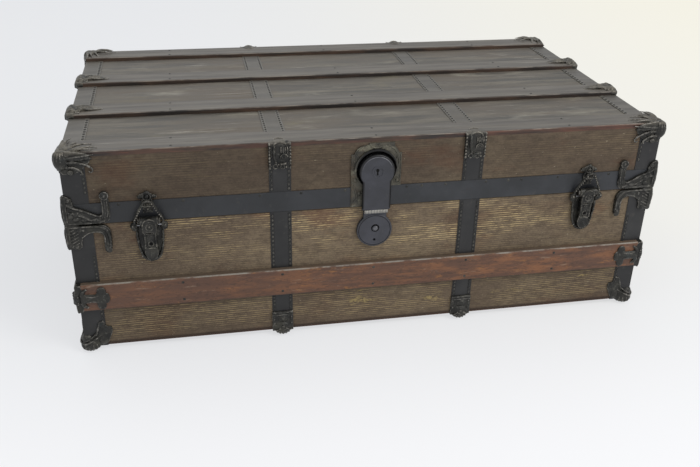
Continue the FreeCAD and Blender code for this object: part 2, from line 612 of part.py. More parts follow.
def build_hasp():
    """A hollow cover with a round head, hinged at its foot; it drops into the lid plate's opening."""
    axis_height = HASP_AXIS[1]
    low = f"{axis_height} + hasp_low"
    half = "hasp_wide / 2"
    form = fuse("hasp_form", disc("hasp_head", LOCK_HEAD, "head_radius", "head_back", "hasp_front"),
                lock_box("hasp_neck", half, ("neck_back", "hasp_front"), (low, LOCK_HEAD)))
    soft = rounded("hasp_soft", form, "hasp_round", on_front("hasp_front"))
    face = "hasp_front - hasp_wall"
    inside = [
        disc("hasp_head_inside", LOCK_HEAD, "head_radius - hasp_wall", "head_back - 1", face),
        lock_box("hasp_neck_inside", f"({half} - hasp_wall)", ("neck_back - 1", face),
                 (f"{low} + hasp_wall", LOCK_HEAD)),
        lock_box("hasp_notch", "notch_wide / 2", ("head_back - 1", "notch_back"),
                 (f"{LOCK_HEAD} + case_radius", f"{LOCK_HEAD} + head_radius + 1")),
        barrel("hasp_room", "lock_x", "hasp_wide + 2", HASP_AXIS, "barrel_radius + knuckle_gap"),
        disc("plug_hole", LOCK_HEAD, "plug_radius + fit", f"{face} - 1", "hasp_front + 1"),
    ]
    shell_piece = cut("hasp_shell", soft, *inside)
    knuckle = barrel("hasp_knuckle_blank", "lock_x", "hasp_knuckle", HASP_AXIS, "barrel_radius")
    web = lock_box("hasp_web", "hasp_knuckle / 2", ("barrel_out", "hasp_front"),
                   (axis_height, f"{axis_height} + web_tall"))
    bore = barrel("hasp_bore", "lock_x", "hasp_wide + 2", HASP_AXIS, "hasp_pin_radius + fit")
    node("hasp_cover", cut("hasp", fuse("hasp_joined", shell_piece, knuckle, web), bore))


def build_lock_works():
    """The case inside the hasp, the plug that the key turns, and the bolt that it lifts."""
    case = disc("case_blank", LOCK_HEAD, "case_radius", "case_back", "hasp_front - hasp_wall")
    low = f"{LOCK_HEAD} + bolt_low"
    slot = lock_box("bolt_slot", "(bolt_wide / 2 + bolt_slack)",
                    ("bolt_back - bolt_slack", "bolt_back + bolt_thick + bolt_slack"),
                    (f"{low} - bolt_slack", f"{LOCK_HEAD} + case_radius + 1"))
    hole = disc("case_hole", LOCK_HEAD, "plug_radius + fit", "plug_back", "hasp_front")
    node("lock_case", cut("case", case, slot, hole))
    reach = ("bolt_back", "bolt_back + bolt_thick")
    node("lock_bolt", lock_box("bolt", "bolt_wide / 2", reach, (low, f"{low} + bolt_long")))
    front = "hasp_front + plug_proud"
    plug = disc("plug_blank", LOCK_HEAD, "plug_radius", "plug_back", front)
    keyhole = lock_box("keyhole", "keyhole_wide / 2", (f"{front} - keyhole_deep", f"{front} + 1"),
                       (f"{LOCK_HEAD} - keyhole_tall / 2", f"{LOCK_HEAD} + keyhole_tall / 2"))
    node("lock_plug", cut("plug", plug, keyhole))


def build_lock_base():
    axis_height = HASP_AXIS[1]
    middle = f"({SEAM} - disc_drop)"
    round_part = rounded("disc_soft", disc("disc_blank", middle, "disc_radius", "0", "disc_thick"),
                         "disc_round", on_front("disc_thick"))
    side_wide = "((barrel_wide - hasp_knuckle) / 2 - knuckle_gap)"
    neck_high = f"{axis_height} - hasp_pin_radius"
    pieces = [
        round_part,
        lock_box("disc_neck", "barrel_wide / 2", ("0", "neck_thick"), (middle, neck_high)),
        disc("disc_rivet_head", f"{middle} + disc_rivet", "disc_rivet", "0", "disc_thick + disc_rivet_proud"),
    ]
    for side, sign in (("left", "-"), ("right", "+")):
        spot = f"(lock_x {sign} (barrel_wide / 2 - {side_wide} / 2))"
        pieces.append(barrel(f"base_{side}_knuckle", spot, side_wide, HASP_AXIS, "barrel_radius"))
        pieces.append(box(f"base_{side}_web",
                          (f"{spot} - {side_wide} / 2", HASP_AXIS[0], f"{axis_height} - barrel_radius"),
                          (f"{spot} + {side_wide} / 2", FRONT, f"{axis_height} - hasp_pin_radius")))
    hole = disc("disc_hole_cutter", f"{middle} - disc_hole_drop", "disc_hole", "1", "disc_thick + 1")
    bore = barrel("base_bore", "lock_x", "barrel_wide + 2", HASP_AXIS, "hasp_pin_radius")
    node("lock_base_plate", cut("lock_base", fuse("lock_base_form", *pieces), hole, bore))
    node("hasp_pin", barrel("hasp_pin_rod", "lock_x", "barrel_wide", HASP_AXIS, "hasp_pin_radius"))


# ---------------------------------------------------------------- latches

LEVER_AXIS = (out("lever_out"), f"({SEAM} + lever_up)")
BAIL_AXIS = (out("bail_out"), f"({SEAM} - bail_drop)")


def latch_box(name, middle, half_wide, reach, heights):
    """A box on a latch's middle line; its heights are measured from the seam."""
    (back, front), (low, high) = reach, heights
    return box(name, (f"{middle} - {half_wide}", out(front), f"{SEAM} + ({low})"),
               (f"{middle} + {half_wide}", out(back), f"{SEAM} + ({high})"))


def latch_base(name, middle):
    """A plate with two ears that stand off the lid's band and hold the lever's pin."""
    half = "latch_base_wide / 2"
    pieces = [latch_box(f"{name}_plate", middle, half, ("0", "latch_base_thick"),
                        ("-latch_base_low", "-latch_base_top"))]
    for side, sign in (("left", "-"), ("right", "+")):
        spot = f"({middle} {sign} (lever_wide / 2 + ear_gap + ear_thick / 2))"
        thick = "ear_thick / 2"
        pieces += [
            barrel(f"{name}_{side}_ear", spot, "ear_thick", LEVER_AXIS, "ear_radius"),
            latch_box(f"{name}_{side}_arm", spot, thick, ("ear_back", "lever_out"),
                      ("lever_up - ear_radius", "lever_up + ear_radius")),
            latch_box(f"{name}_{side}_stem", spot, thick, ("ear_back", "ear_back + ear_stem"),
                      ("-ear_low", "lever_up")),
            latch_box(f"{name}_{side}_foot", spot, thick, ("0", "ear_back + ear_stem"),
                      ("-ear_low", "-latch_base_top")),
        ]
    bore = barrel(f"{name}_bore", middle, "latch_base_wide + 2", LEVER_AXIS, "lever_pin_radius")
    return cut(name, fuse(f"{name}_form", *pieces), bore)


def latch_lever(name, middle):
    half = "lever_wide / 2"
    low, back = "-tongue_low", "(tongue_out - tongue_thick)"
    tip = (middle, out(back), f"{SEAM} - tongue_low")
    pieces = [
        barrel(f"{name}_hub", middle, "lever_wide", LEVER_AXIS, "hub_radius"),
        latch_box(f"{name}_block", middle, half, ("block_back", "block_front"), ("-block_low", "lever_up")),
        latch_box(f"{name}_tongue", middle, "tip_radius", (back, "tongue_out"), (low, "-block_low")),
        cylinder(f"{name}_tip", tip, "-y", "tip_radius", "tongue_thick"),
        cylinder(f"{name}_thumb", tip, "-y", "thumb_radius", "tongue_thick + thumb_proud"),
    ]
    hole = cylinder(f"{name}_hole", (middle, out("0"), f"{SEAM} - lever_hole_drop"), "-y",
                    "lever_hole_radius", "tongue_out + 1")
    loose = barrel(f"{name}_pin_bore", middle, "lever_wide + 2", LEVER_AXIS, "lever_pin_radius + fit")
    tight = barrel(f"{name}_bail_bore", middle, "lever_wide + 2", BAIL_AXIS, "bail_pin_radius")
    return cut(name, fuse(f"{name}_form", *pieces), hole, loose, tight)


def latch_bail(name, middle):
    """An A-shaped frame that swings on the lever's lower pin; its bar reaches the catch's nose."""
    inner = "(lever_wide / 2 + ear_gap + ear_thick + bail_gap)"
    outer = f"({inner} + bail_leg)"
    bar = "(bail_top - bail_bar)"
    left_half = [(f"-{outer}", "0"), (f"-{outer}", "bail_knee"), ("-bail_apex", "bail_top")]
    right_half = [("bail_apex", "bail_top"), (outer, "bail_knee"), (outer, "0")]
    window = [(inner, "0"), (inner, "bail_knee"), ("(bail_apex - bail_leg)", bar),
              ("-(bail_apex - bail_leg)", bar), (f"-{inner}", "bail_knee"), (f"-{inner}", "0")]
    outline = [(f"({outer} + ({across}))", up) for across, up in left_half + right_half + window]
    outline[:2] = [("0", "0"), ("0", "bail_knee")]
    frame = plate(f"{name}_frame", ("0", "0", "0"), outline, "bail_thick")
    frame.Placement = FreeCAD.Placement(Vector(), FreeCAD.Rotation(Vector(1, 0, 0), size("bail_tilt")))
    place(frame, (f"{middle} - {outer}", f"{BAIL_AXIS[0]} + bail_thick / 2 * cos(bail_tilt)",
                  f"{BAIL_AXIS[1]} + bail_thick / 2 * sin(bail_tilt)"))
    eyes = [barrel(f"{name}_{side}_eye", f"({middle} {sign} ({inner} + eye_wide / 2))", "eye_wide",
                   BAIL_AXIS, "eye_radius") for side, sign in (("left", "-"), ("right", "+"))]
    bore = barrel(f"{name}_bore", middle, "length / 10", BAIL_AXIS, "bail_pin_radius + fit")
    return cut(name, fuse(f"{name}_form", frame, *eyes), bore)


def latch_catch(name, middle):
    """A lobed plate on the lid with the nose that the bail's bar pulls down."""
    thick = ("0", "catch_thick")
    pieces = [
        latch_box(f"{name}_plate", middle, "catch_wide / 2", thick, ("catch_low", "catch_high")),
        latch_box(f"{name}_nose", middle, "nose_wide / 2", ("0", "nose_out"), ("nose_low", "nose_high")),
    ]
    lobes = {"top": ("", "0"), "left": ("- lobe_spread", "lobe_drop"),
             "right": ("+ lobe_spread", "lobe_drop")}
    for side, (across, drop) in lobes.items():
        spot = (f"{middle} {across}", FRONT, f"{SEAM} + catch_high - {drop}")
        pieces.append(cylinder(f"{name}_{side}_lobe", spot, "-y", "lobe_radius", "catch_thick"))
    return fuse(name, *pieces)


def build_latches():
    bases, pins, catches = [], [], []
    inner = "(lever_wide / 2 + ear_gap + ear_thick + bail_gap)"
    for side, middle in (("left", f"({LEFT} + latch_inset)"), ("right", f"({RIGHT} - latch_inset)")):
        bases.append(latch_base(f"{side}_base", middle))
        catches.append(latch_catch(f"{side}_catch", middle))
        pins.append(barrel(f"{side}_lever_pin", middle, "lever_wide + 2 * (ear_gap + ear_thick)",
                           LEVER_AXIS, "lever_pin_radius"))
        node(f"latch_lever_{side}", latch_lever(f"{side}_lever", middle))
        node(f"latch_bail_{side}", latch_bail(f"{side}_bail", middle))
        rod = barrel(f"{side}_bail_rod", middle, f"2 * ({inner} + eye_wide)", BAIL_AXIS, "bail_pin_radius")
        node(f"latch_bail_pin_{side}", rod)
    node("latch_bases", group("base_set", *bases))
    node("latch_lever_pins", group("lever_pin_set", *pins))
    node("latch_catches", group("catch_set", *catches))


# ---------------------------------------------------------------- end handles

HANDLE_STEPS = 12


def build_handles():
    """A leather strap bowed away from the left end, held by a cast cap at each end, and its mirror."""
    span = "(handle_long - 2 * handle_flat)"
    bow = [(f"(handle_flat + {span} * {n / HANDLE_STEPS})",
            f"(handle_bow / 2 * (1 - cos(360 * {n / HANDLE_STEPS})))") for n in range(1, HANDLE_STEPS)]
    far = "(handle_long - handle_flat)"
    inner = [("0", "0"), ("handle_flat", "0"), *bow, (far, "0"), ("handle_long", "0")]
    outer = [(across, f"({rise} + handle_thick)") for across, rise in reversed(inner)]
    strap = plate("handle_strap", ("0", "0", "0"), inner + outer, "handle_wide")
    strap.Placement = FreeCAD.Placement(
        Vector(), FreeCAD.Rotation(Vector(0, 1, 0), Vector(0, 0, -1), Vector(-1, 0, 0), "XYZ"))
    low = "(foot_drop + handle_rise)"
    place(strap, (LEFT, "-handle_long / 2", f"{low} - handle_wide / 2"))
    node("handle_left", strap)
    node("handle_right", mirror("handle_right_strap", strap, (1, 0, 0)))
    start = "(-handle_long / 2 - cap_spare)"
    blank = box("cap_blank", (f"{LEFT} - cap_thick", start, f"{low} - cap_wide / 2"),
                (LEFT, f"{start} + cap_long", f"{low} + cap_wide / 2"))
    outside = size(f"{LEFT} - cap_thick")
    soft = rounded("cap_soft", blank, "cap_round", lambda edge: lies(edge, "x", outside))
    cap = cut("cap", soft, strap)
    node("handle_caps", four_corners("caps", cap))


# ---------------------------------------------------------------- nails

FACING = {
    "up": ("z", "-", FreeCAD.Rotation()),
    "front": ("y", "+", FreeCAD.Rotation(Vector(1, 0, 0), 90)),
    "left": ("x", "+", FreeCAD.Rotation(Vector(0, 1, 0), -90)),
}
BAND_NAILS = (-383, -291.5, -179.5, -118, -51, 45, 69, 107, 172.5, 209, 231, 292, 378.5)
BACK_BAND_NAILS = (-383, -232, -179.5, -118, -51, 51, 118, 179.5, 232, 383)
END_NAILS = (-190, -95, 0, 95, 190)
TOP_SLAT_NAILS = (-303, -4, 303)
SIDE_SLAT_NAILS = (-301, -149, -4, 149, 301)


def nail(name, facing, position):
    """A nail's domed head, its flat side on a surface."""
    axis, inward, turn = FACING[facing]
    head = doc.addObject("Part::Sphere", name)
    head.Placement = FreeCAD.Placement(Vector(), turn)
    bind(head, "Radius", "nail_radius")
    bind(head, "Angle1", "nail_from")
    spot = list(position)
    spot["xyz".index(axis)] += f" {inward} nail_radius * sin(nail_from)"
    place(head, spot)
    return head


def nail_row(name, facing, positions):
    return [nail(f"{name}_{number}", facing, spot) for number, spot in enumerate(positions, start=1)]


def build_nails():
    height = f"{SEAM} + band_height - band_nail_drop"
    front = nail_row("band_nail", "front", [(str(x), out("band_iron"), height) for x in BAND_NAILS])
    rear = nail_row("rear_nail", "front", [(str(x), out("band_iron"), height) for x in BACK_BAND_NAILS])
    ends = nail_row("end_nail", "left", [(f"{LEFT} - band_iron", str(y), height) for y in END_NAILS])
    heads = front + [mirror("rear_nails", group("rear_nail_row", *rear), (0, 1, 0)),
                     left_and_right("end_nails", group("end_nail_row", *ends))]
    half = "(slat_width / 2 - nail_row_inset)"
    for number, middle in enumerate((f"({FRONT} + slat_width / 2)", "(-top_slat_spread)"), start=1):
        spots = [(str(x), f"{middle} {side} {half}", f"{TOP} + top_slat_thick")
                 for x in TOP_SLAT_NAILS for side in "-+"]
        row = group(f"top_row_{number}", *nail_row(f"top_nail_{number}", "up", spots))
        heads.append(front_and_back(f"top_rows_{number}", row))
    node("lid_nails", group("lid_heads", *heads))

    middle = f"(({SLAT_LOW} + {SLAT_HIGH}) / 2)"
    spots = [(str(x), out("side_slat_thick"), f"{middle} {side} {half}")
             for x in SIDE_SLAT_NAILS for side in "-+"]
    row = group("slat_nail_row", *nail_row("slat_nail", "front", spots))
    node("body_nails", front_and_back("slat_nails", row))


# ---------------------------------------------------------------- assembly

def build():
    build_body_box()
    build_lid_box()
    build_inside()
    build_body_irons()
    opening = build_lock_plate()
    build_lock_pan()
    build_hasp()
    build_lock_works()
    build_lock_base()
    build_latches()
    build_hinges()
    lid_block = build_lid_irons(opening)
    build_body_slats()
    build_lid_slats()
    build_handles()

    lid_skins = ("lid_corner_irons", "lid_end_irons", "lid_straps", "lid_band",
                 "lid_edge_slats", "lid_middle_slats")
    lid_core = fuse("lid_core", lid_block, *(nodes[name] for name in lid_skins))
    body_block = box("body_block", (LEFT, FRONT, "foot_drop"), (RIGHT, BACK, BODY_HIGH))
    body_core = fuse("body_core", body_block, nodes["body_corner_irons"], nodes["body_straps"],
                     nodes["front_slat"], nodes["back_slat"])
    floor = box("floor", ("-length", "-depth", "-foot_ball_radius"), ("length", "depth", "0"))
    build_lid_castings(lid_core)
    build_body_castings(body_core, floor)
    build_seam_clamps(lid_core, body_core)
    build_nails()


def check_and_write():
    doc.recompute()
    wrong = [item.Name for item in doc.Objects if {"Invalid", "Error"} & set(item.State)]
    wrong += [name for name, piece in nodes.items() if piece.Shape.isNull() or not piece.Shape.isValid()]
    if wrong:
        raise RuntimeError(f"not built: {wrong}")
    os.makedirs("parts", exist_ok=True)
    for name, piece in nodes.items():
        piece.Shape.exportStep(f"parts/{name}.step")


build()
check_and_write()
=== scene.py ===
import math

import bpy
import numpy as np
from mathutils import Matrix, Vector, noise


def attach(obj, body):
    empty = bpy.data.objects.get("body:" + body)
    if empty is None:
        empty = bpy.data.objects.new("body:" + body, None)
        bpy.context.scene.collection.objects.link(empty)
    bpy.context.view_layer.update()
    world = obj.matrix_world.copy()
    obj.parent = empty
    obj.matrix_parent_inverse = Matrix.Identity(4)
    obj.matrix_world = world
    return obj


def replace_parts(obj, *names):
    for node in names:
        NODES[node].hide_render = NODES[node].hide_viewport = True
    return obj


# The looks of a flat-topped steamer trunk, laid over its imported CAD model. Row frame. Shapes are
# drawn in millimetres; places in materials, lights and the camera are in metres.

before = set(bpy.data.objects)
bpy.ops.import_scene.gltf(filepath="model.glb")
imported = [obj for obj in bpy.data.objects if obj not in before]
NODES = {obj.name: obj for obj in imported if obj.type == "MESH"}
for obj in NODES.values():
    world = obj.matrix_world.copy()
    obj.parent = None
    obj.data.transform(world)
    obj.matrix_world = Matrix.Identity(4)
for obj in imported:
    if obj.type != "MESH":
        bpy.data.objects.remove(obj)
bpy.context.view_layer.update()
MM = 0.001
SIDES = (-1, 1)

# Faces of the box and middle lines of its fittings, as the CAD model has them.
END, FACE, SEAM, TOP = 456, 261, 221, 325
STRAP, LATCH, LOCK_X, LOCK_Z = 149, 342.5, -4, 281


# ---------------------------------------------------------------- materials

def tint(code):
    """A colour written as six hex digits, in linear light."""
    parts = [int(code[n:n + 2], 16) / 255 for n in (0, 2, 4)]
    return (*(c / 12.92 if c < 0.04045 else ((c + 0.055) / 1.055) ** 2.4 for c in parts), 1)


class Paint:
    """A procedural material whose pattern is fixed to the row frame.

    A noise is written (scale, detail, roughness, shift, distortion), its scale one number or one
    for each axis. A ramp is (low, high): where a pattern starts, and where it is full.
    """

    def __init__(self, name, **sockets):
        self.material = bpy.data.materials.new(name)
        self.material.use_nodes = True
        self.nodes, self.links = self.material.node_tree.nodes, self.material.node_tree.links
        self.shader = self.nodes["Principled BSDF"]
        for key, value in sockets.items():
            self.shader.inputs[key.replace("_", " ")].default_value = value
        self.place = self.nodes.new("ShaderNodeTexCoord").outputs["Object"]
        self.x, self.y, self.z = self.add("SeparateXYZ", {0: self.place}).outputs

    def add(self, kind, inputs, **settings):
        node = self.nodes.new("ShaderNode" + kind)
        for key, value in settings.items():
            setattr(node, key, value)
        for key, value in inputs.items():
            if isinstance(value, bpy.types.NodeSocket):
                self.links.new(value, node.inputs[key])
            else:
                node.inputs[key].default_value = value
        return node

    def math(self, operation, *values):
        return self.add("Math", dict(enumerate(values)), operation=operation).outputs[0]

    def fold(self, operation, values):
        total = values[0]
        for value in values[1:]:
            total = self.math(operation, total, value)
        return total

    def plus(self, *values):
        return self.fold("ADD", values)

    def times(self, *values):
        return self.fold("MULTIPLY", values)

    def either(self, *values):
        return self.fold("MAXIMUM", values)

    def rest(self, value):
        """What a value leaves of 1."""
        return self.math("SUBTRACT", 1, value)

    def length(self, first, second):
        """The length of a line that goes so far along two axes."""
        squares = self.plus(self.times(first, first), self.times(second, second))
        return self.math("SQRT", squares)

    def noise(self, scale, detail, rough, shift, distort=0):
        scale = scale if isinstance(scale, tuple) else (scale,) * 3
        spot = self.add("Mapping", {"Vector": self.place, "Scale": scale,
                                    "Location": (shift, shift * 0.7, -shift)})
        return self.add("TexNoise", {"Vector": spot.outputs[0], "Scale": 1, "Detail": detail,
                                     "Roughness": rough, "Distortion": distort}).outputs["Fac"]

    def step(self, value, low, high):
        sockets = {"Value": value, "From Min": low, "From Max": high}
        return self.add("MapRange", sockets, interpolation_type="SMOOTHSTEP").outputs["Result"]

    def zone(self, value, low, high, soft):
        """1 between low and high, 0 outside, over a soft edge."""
        return self.times(self.step(value, low - soft, low), self.step(value, high + soft, high))

    def patches(self, grain, ramp):
        return self.step(self.noise(*grain), *ramp)

    def mix(self, amount, first, second, blend="MIX"):
        sockets = {0: amount, 6: first, 7: second}
        return self.add("Mix", sockets, data_type="RGBA", blend_type=blend).outputs[2]

    def ground(self, dark, light, amount):
        """The first colour: from dark, where amount is 0, to light."""
        self.base = self.mix(amount, tint(dark), tint(light))

    def coat(self, colour, *amounts):
        """A colour, or its hex digits, laid over the rest by the product of the amounts."""
        colour = tint(colour) if isinstance(colour, str) else colour
        self.base = self.mix(self.times(*amounts), self.base, colour)

    def wear(self, *rows):
        """Coats in patches, each written (hex digits, amount, noise, ramp)."""
        for colour, amount, grain, ramp in rows:
            self.coat(colour, self.patches(grain, ramp), amount)

    def done(self, *layers, gloss=None):
        """Links the colour, gloss and relief, and gives the material.

        Gloss is a roughness of (least, pattern, share). A layer of relief is (pattern,
        millimetres). Their patterns are noises or sockets.
        """
        def pattern(value):
            return self.noise(*value) if isinstance(value, tuple) else value

        self.links.new(self.base, self.shader.inputs["Base Color"])
        if gloss:
            least, grain, share = gloss
            rough = self.plus(least, self.times(pattern(grain), share))
            self.links.new(rough, self.shader.inputs["Roughness"])
        if layers:
            total = self.plus(*(self.times(pattern(height), depth) for height, depth in layers))
            node = self.add("Bump", {"Height": total, "Distance": MM, "Strength": 1})
            self.links.new(node.outputs[0], self.shader.inputs["Normal"])
        return self.material


# Ramps in metres: up onto the lid's walls and its top, down onto the foot of the walls, and
# forward onto the front. Zones are (low, high, soft edge).
ON_LID, ON_TOP = (0.215, 0.225), (0.3243, 0.3249)
ON_FOOT, ON_FOOT_LINE = (0.09, 0.08), (0.0165, 0.0145)
AT_FRONT, UNDER_BAND = (-0.25, -0.26), (0.168, 0.207, 0.03)
LID_MIDDLE, FOOT_MIDDLE = (0.29, 0.31, 0.02), (0.03, 0.07, 0.012)
WEFT_PITCH, WEFT_WAVER = 0.0037, 2.4


def weft_lines(p):
    """Lines of weft along the wall, from 0 to 1, that waver a little."""
    bend = p.times(p.noise((10, 10, 25), 2, 0.5, 40), WEFT_WAVER)
    wave = p.math("SINE", p.plus(p.times(p.z, 2 * math.pi / WEFT_PITCH), bend))
    return p.plus(p.times(wave, 0.5), 0.5)


def make_wall_canvas(name):
    """Painted canvas, mottled brown, with its weft rubbed through to gold in places, and with
    painted light and shade across the walls.
    """
    p = Paint(name, Roughness=0.85, IOR=1.45)
    p.ground("594b3d", "6b5d4b", p.patches(((5, 5, 8), 4, 0.6, 1), (0.35, 0.68)))
    p.wear(("594636", 1, ((8, 8, 12), 3, 0.6, 5), (0.5, 0.75)),
           ("473b2f", 0.55, ((60, 60, 110), 4, 0.65, 12), (0.4, 0.66)))
    line, speck = weft_lines(p), p.noise((260, 260, 420), 2, 0.6, 9)
    lid, foot = p.step(p.z, *ON_LID), p.step(p.z, *ON_FOOT)
    weft = p.rest(p.either(p.times(lid, 0.55), p.times(foot, 0.4)))
    p.coat("8a7b61", line, p.step(speck, 0.42, 0.6), weft, 0.16)
    p.coat("382f26", p.step(speck, 0.54, 0.4), 0.2)
    p.wear(("83745a", 0.3, ((9, 9, 260), 3, 0.6, 2), (0.56, 0.72)),
           ("5e3b28", 0.4, ((7, 7, 16), 4, 0.65, 81), (0.54, 0.7)))

    # Gold threads: most in the middle of the front under the band, fewer elsewhere.
    middle = p.either(p.zone(p.x, -0.15, 0.13, 0.1), p.times(p.zone(p.x, -0.33, 0.32, 0.08), 0.75))
    under_band = p.times(p.zone(p.z, *UNDER_BAND), middle, p.step(p.y, *AT_FRONT))
    on_lid, on_foot = p.zone(p.z, *LID_MIDDLE), p.zone(p.z, *FOOT_MIDDLE)
    where = p.either(under_band, p.times(on_lid, 0.14), p.times(on_foot, 0.4), p.times(weft, 0.14))
    p.coat("bfa97a", p.patches(((8, 8, 26), 4, 0.6, 14), (0.4, 0.58)), p.step(line, 0.5, 0.95),
           p.patches(((70, 70, 420), 4, 0.75, 4), (0.4, 0.58)), where)
    p.wear(("b5ab92", 0.7, ((110, 110, 260), 4, 0.7, 91), (0.665, 0.7)))
    p.coat("a3905c", p.patches(((12, 12, 60), 4, 0.7, 21), (0.6, 0.7)), p.either(on_foot, 0.12),
           0.55, p.step(speck, 0.4, 0.55))

    # Painted light and shade: painted shade over the wall's left half, deepest at its left end, and
    # painted light on the lid's right; the lid's walls are darker, and the wall is darker below the
    # lid on the right and along its foot.
    across = p.plus(0.86, p.times(p.step(p.x, -0.5, 0), 0.2))
    bright = p.times(p.step(p.x, 0, 0.34), lid, 0.09)
    dim = p.plus(p.times(p.step(p.x, 0.1, 0.34), p.rest(lid), 0.1), p.times(foot, 0.06))
    level = p.math("SUBTRACT", p.plus(across, bright), dim)
    level = p.times(p.rest(p.times(lid, 0.33)), level)
    painted_light_and_shade = p.add("CombineXYZ", {0: level, 1: level, 2: level}).outputs[0]
    p.base = p.mix(1, p.base, painted_light_and_shade, "MULTIPLY")
    p.coat("34241b", p.step(p.z, *ON_FOOT_LINE), 0.7)
    return p.done((p.times(line, weft), 0.14), (((600, 600, 60), 2, 0.5, 6), 0.12),
                  (speck, 0.12), ((25, 3, 0.5, 7), 0.5))


def make_top_canvas(name):
    """The canvas of the lid's top: dusty, streaked and scratched along the trunk."""
    p = Paint(name, Roughness=0.62, IOR=1.45)
    streak = p.patches(((6, 55, 55), 5, 0.7, 3), (0.38, 0.64))
    p.ground("403d38", "676259", streak)
    p.wear(("574f45", 1, ((3.5, 9, 9), 4, 0.6, 8), (0.42, 0.7)),
           ("3d3a34", 0.8, ((2.6, 9, 9), 3, 0.6, 30), (0.55, 0.75)),
           ("807c70", 0.85, ((7, 22, 22), 4, 0.65, 52), (0.56, 0.74)),
           ("716a50", 0.4, ((6, 12, 12), 4, 0.6, 61), (0.6, 0.76)))
    scratch = p.times(p.patches(((9, 340, 340), 3, 0.7, 12, 0.6), (0.63, 0.72)),
                      p.patches(((6, 12, 12), 3, 0.6, 17), (0.36, 0.6)))
    p.coat("b3aea3", scratch, 0.9)
    p.wear(("2c2a26", 0.55, ((7, 260, 260), 3, 0.7, 44, 0.5), (0.62, 0.72)),
           ("34322d", 0.3, ((160, 260, 260), 3, 0.7, 71), (0.6, 0.7)))
    return p.done((((80, 500, 500), 3, 0.6, 6), 0.16), ((14, 3, 0.5, 7), 0.8), (scratch, -0.1),
                  gloss=(0.5, streak, 0.2))


# Up onto a lid slat's rounded edge and its top, and a wall slat's top; down onto its foot.
LID_SLAT_EDGE, LID_SLAT_TOP = (0.3306, 0.3318), (0.3319, 0.3324)
WALL_SLAT_TOP, WALL_SLAT_FOOT = (0.1230, 0.1238), (0.0805, 0.0785)
WALL_SLAT_EDGE, WALL_SLAT_FRONT = (0.1222, 0.1236, 0.0005), (-0.2675, -0.269)


def coat_lid_slat(p, grain):
    """Dark varnish, rubbed red at the front, pale on its rounded upper edge with wear and a painted
    highlight, and dusty on top.
    """
    p.coat("1b1410", p.rest(p.times(p.patches(((8, 30, 30), 3, 0.6, 2), (0.4, 0.62)), 0.6)))
    red = p.times(p.step(p.y, -0.2, -0.24), p.patches(((9, 40, 60), 4, 0.65, 27), (0.36, 0.6)),
                  p.plus(0.35, p.times(p.step(p.x, -0.45, 0.2), 0.65)))
    p.coat("5c3626", red, 0.75)
    p.coat("8a4a2c", red, p.patches(((12, 60, 160), 4, 0.7, 37), (0.56, 0.68)), 0.7)
    p.wear(("1d1410", 0.75, ((9, 60, 120), 4, 0.7, 57), (0.5, 0.66)))
    # Pale on the rounded upper edge: wear and a painted highlight.
    p.coat("8a8176", p.step(p.z, *LID_SLAT_EDGE),
           p.patches(((14, 30, 30), 4, 0.65, 11), (0.42, 0.62)), 0.8)
    streak = p.patches(((5, 60, 60), 5, 0.62, 3), (0.35, 0.7))
    scratch = p.patches(((8, 300, 300), 3, 0.7, 12, 0.6), (0.62, 0.72))
    dust = p.mix(streak, tint("4b4742"), tint("625d55"))
    dust = p.mix(p.times(p.step(grain, 0.5, 0.72), 0.5), dust, tint("3f3831"))
    p.coat(p.mix(p.times(scratch, 0.6), dust, tint("949085")), p.step(p.z, *LID_SLAT_TOP))


def coat_wall_slat(p):
    """Red-brown varnish, warmer to the right and with painted shade at the left, dusty on top, worn
    and with a painted highlight at its edge, and dark below.
    """
    p.coat("5d3a2a", 0.45)
    p.coat("835533", p.patches(((12, 50, 60), 5, 0.72, 2), (0.42, 0.66)),
           p.plus(0.42, p.times(p.step(p.x, -0.2, 0.3), 0.32)))
    # Painted shade: darker towards the left.
    p.coat("35251e", p.step(p.x, 0, -0.35), 0.2)
    p.wear(("96642f", 0.5, ((30, 70, 110), 4, 0.75, 35), (0.58, 0.7)),
           ("8f7c69", 0.5, ((26, 90, 160), 4, 0.7, 19), (0.58, 0.72)),
           ("35251e", 0.5, ((9, 60, 60), 5, 0.7, 31), (0.54, 0.7)),
           ("2a1c16", 0.45, ((110, 300, 300), 3, 0.75, 71), (0.52, 0.66)))
    p.coat("554d42", p.step(p.z, *WALL_SLAT_TOP), 0.75)
    # Pale along the upper front edge: wear and a painted highlight.
    p.coat("858178", p.zone(p.z, *WALL_SLAT_EDGE), p.step(p.y, *WALL_SLAT_FRONT),
           p.patches(((24, 40, 40), 4, 0.7, 11), (0.4, 0.56)), 0.8)
    p.coat("2c1c14", p.step(p.z, *WALL_SLAT_FOOT), 0.75)


def make_slat(name):
    """Varnished wood with its grain along the trunk."""
    p = Paint(name, Roughness=0.5, IOR=1.5)
    grain = p.noise((6, 130, 130), 4, 0.65, 5, 0.4)
    p.ground("3d2c1e", "5a4130", p.step(grain, 0.35, 0.65))
    if name == "slat_top":
        coat_lid_slat(p, grain)
    else:
        coat_wall_slat(p)
    return p.done((grain, 0.18), (((8, 500, 500), 2, 0.5, 9), 0.1), ((30, 3, 0.5, 3), 0.35),
                  gloss=(0.42, grain, 0.25))


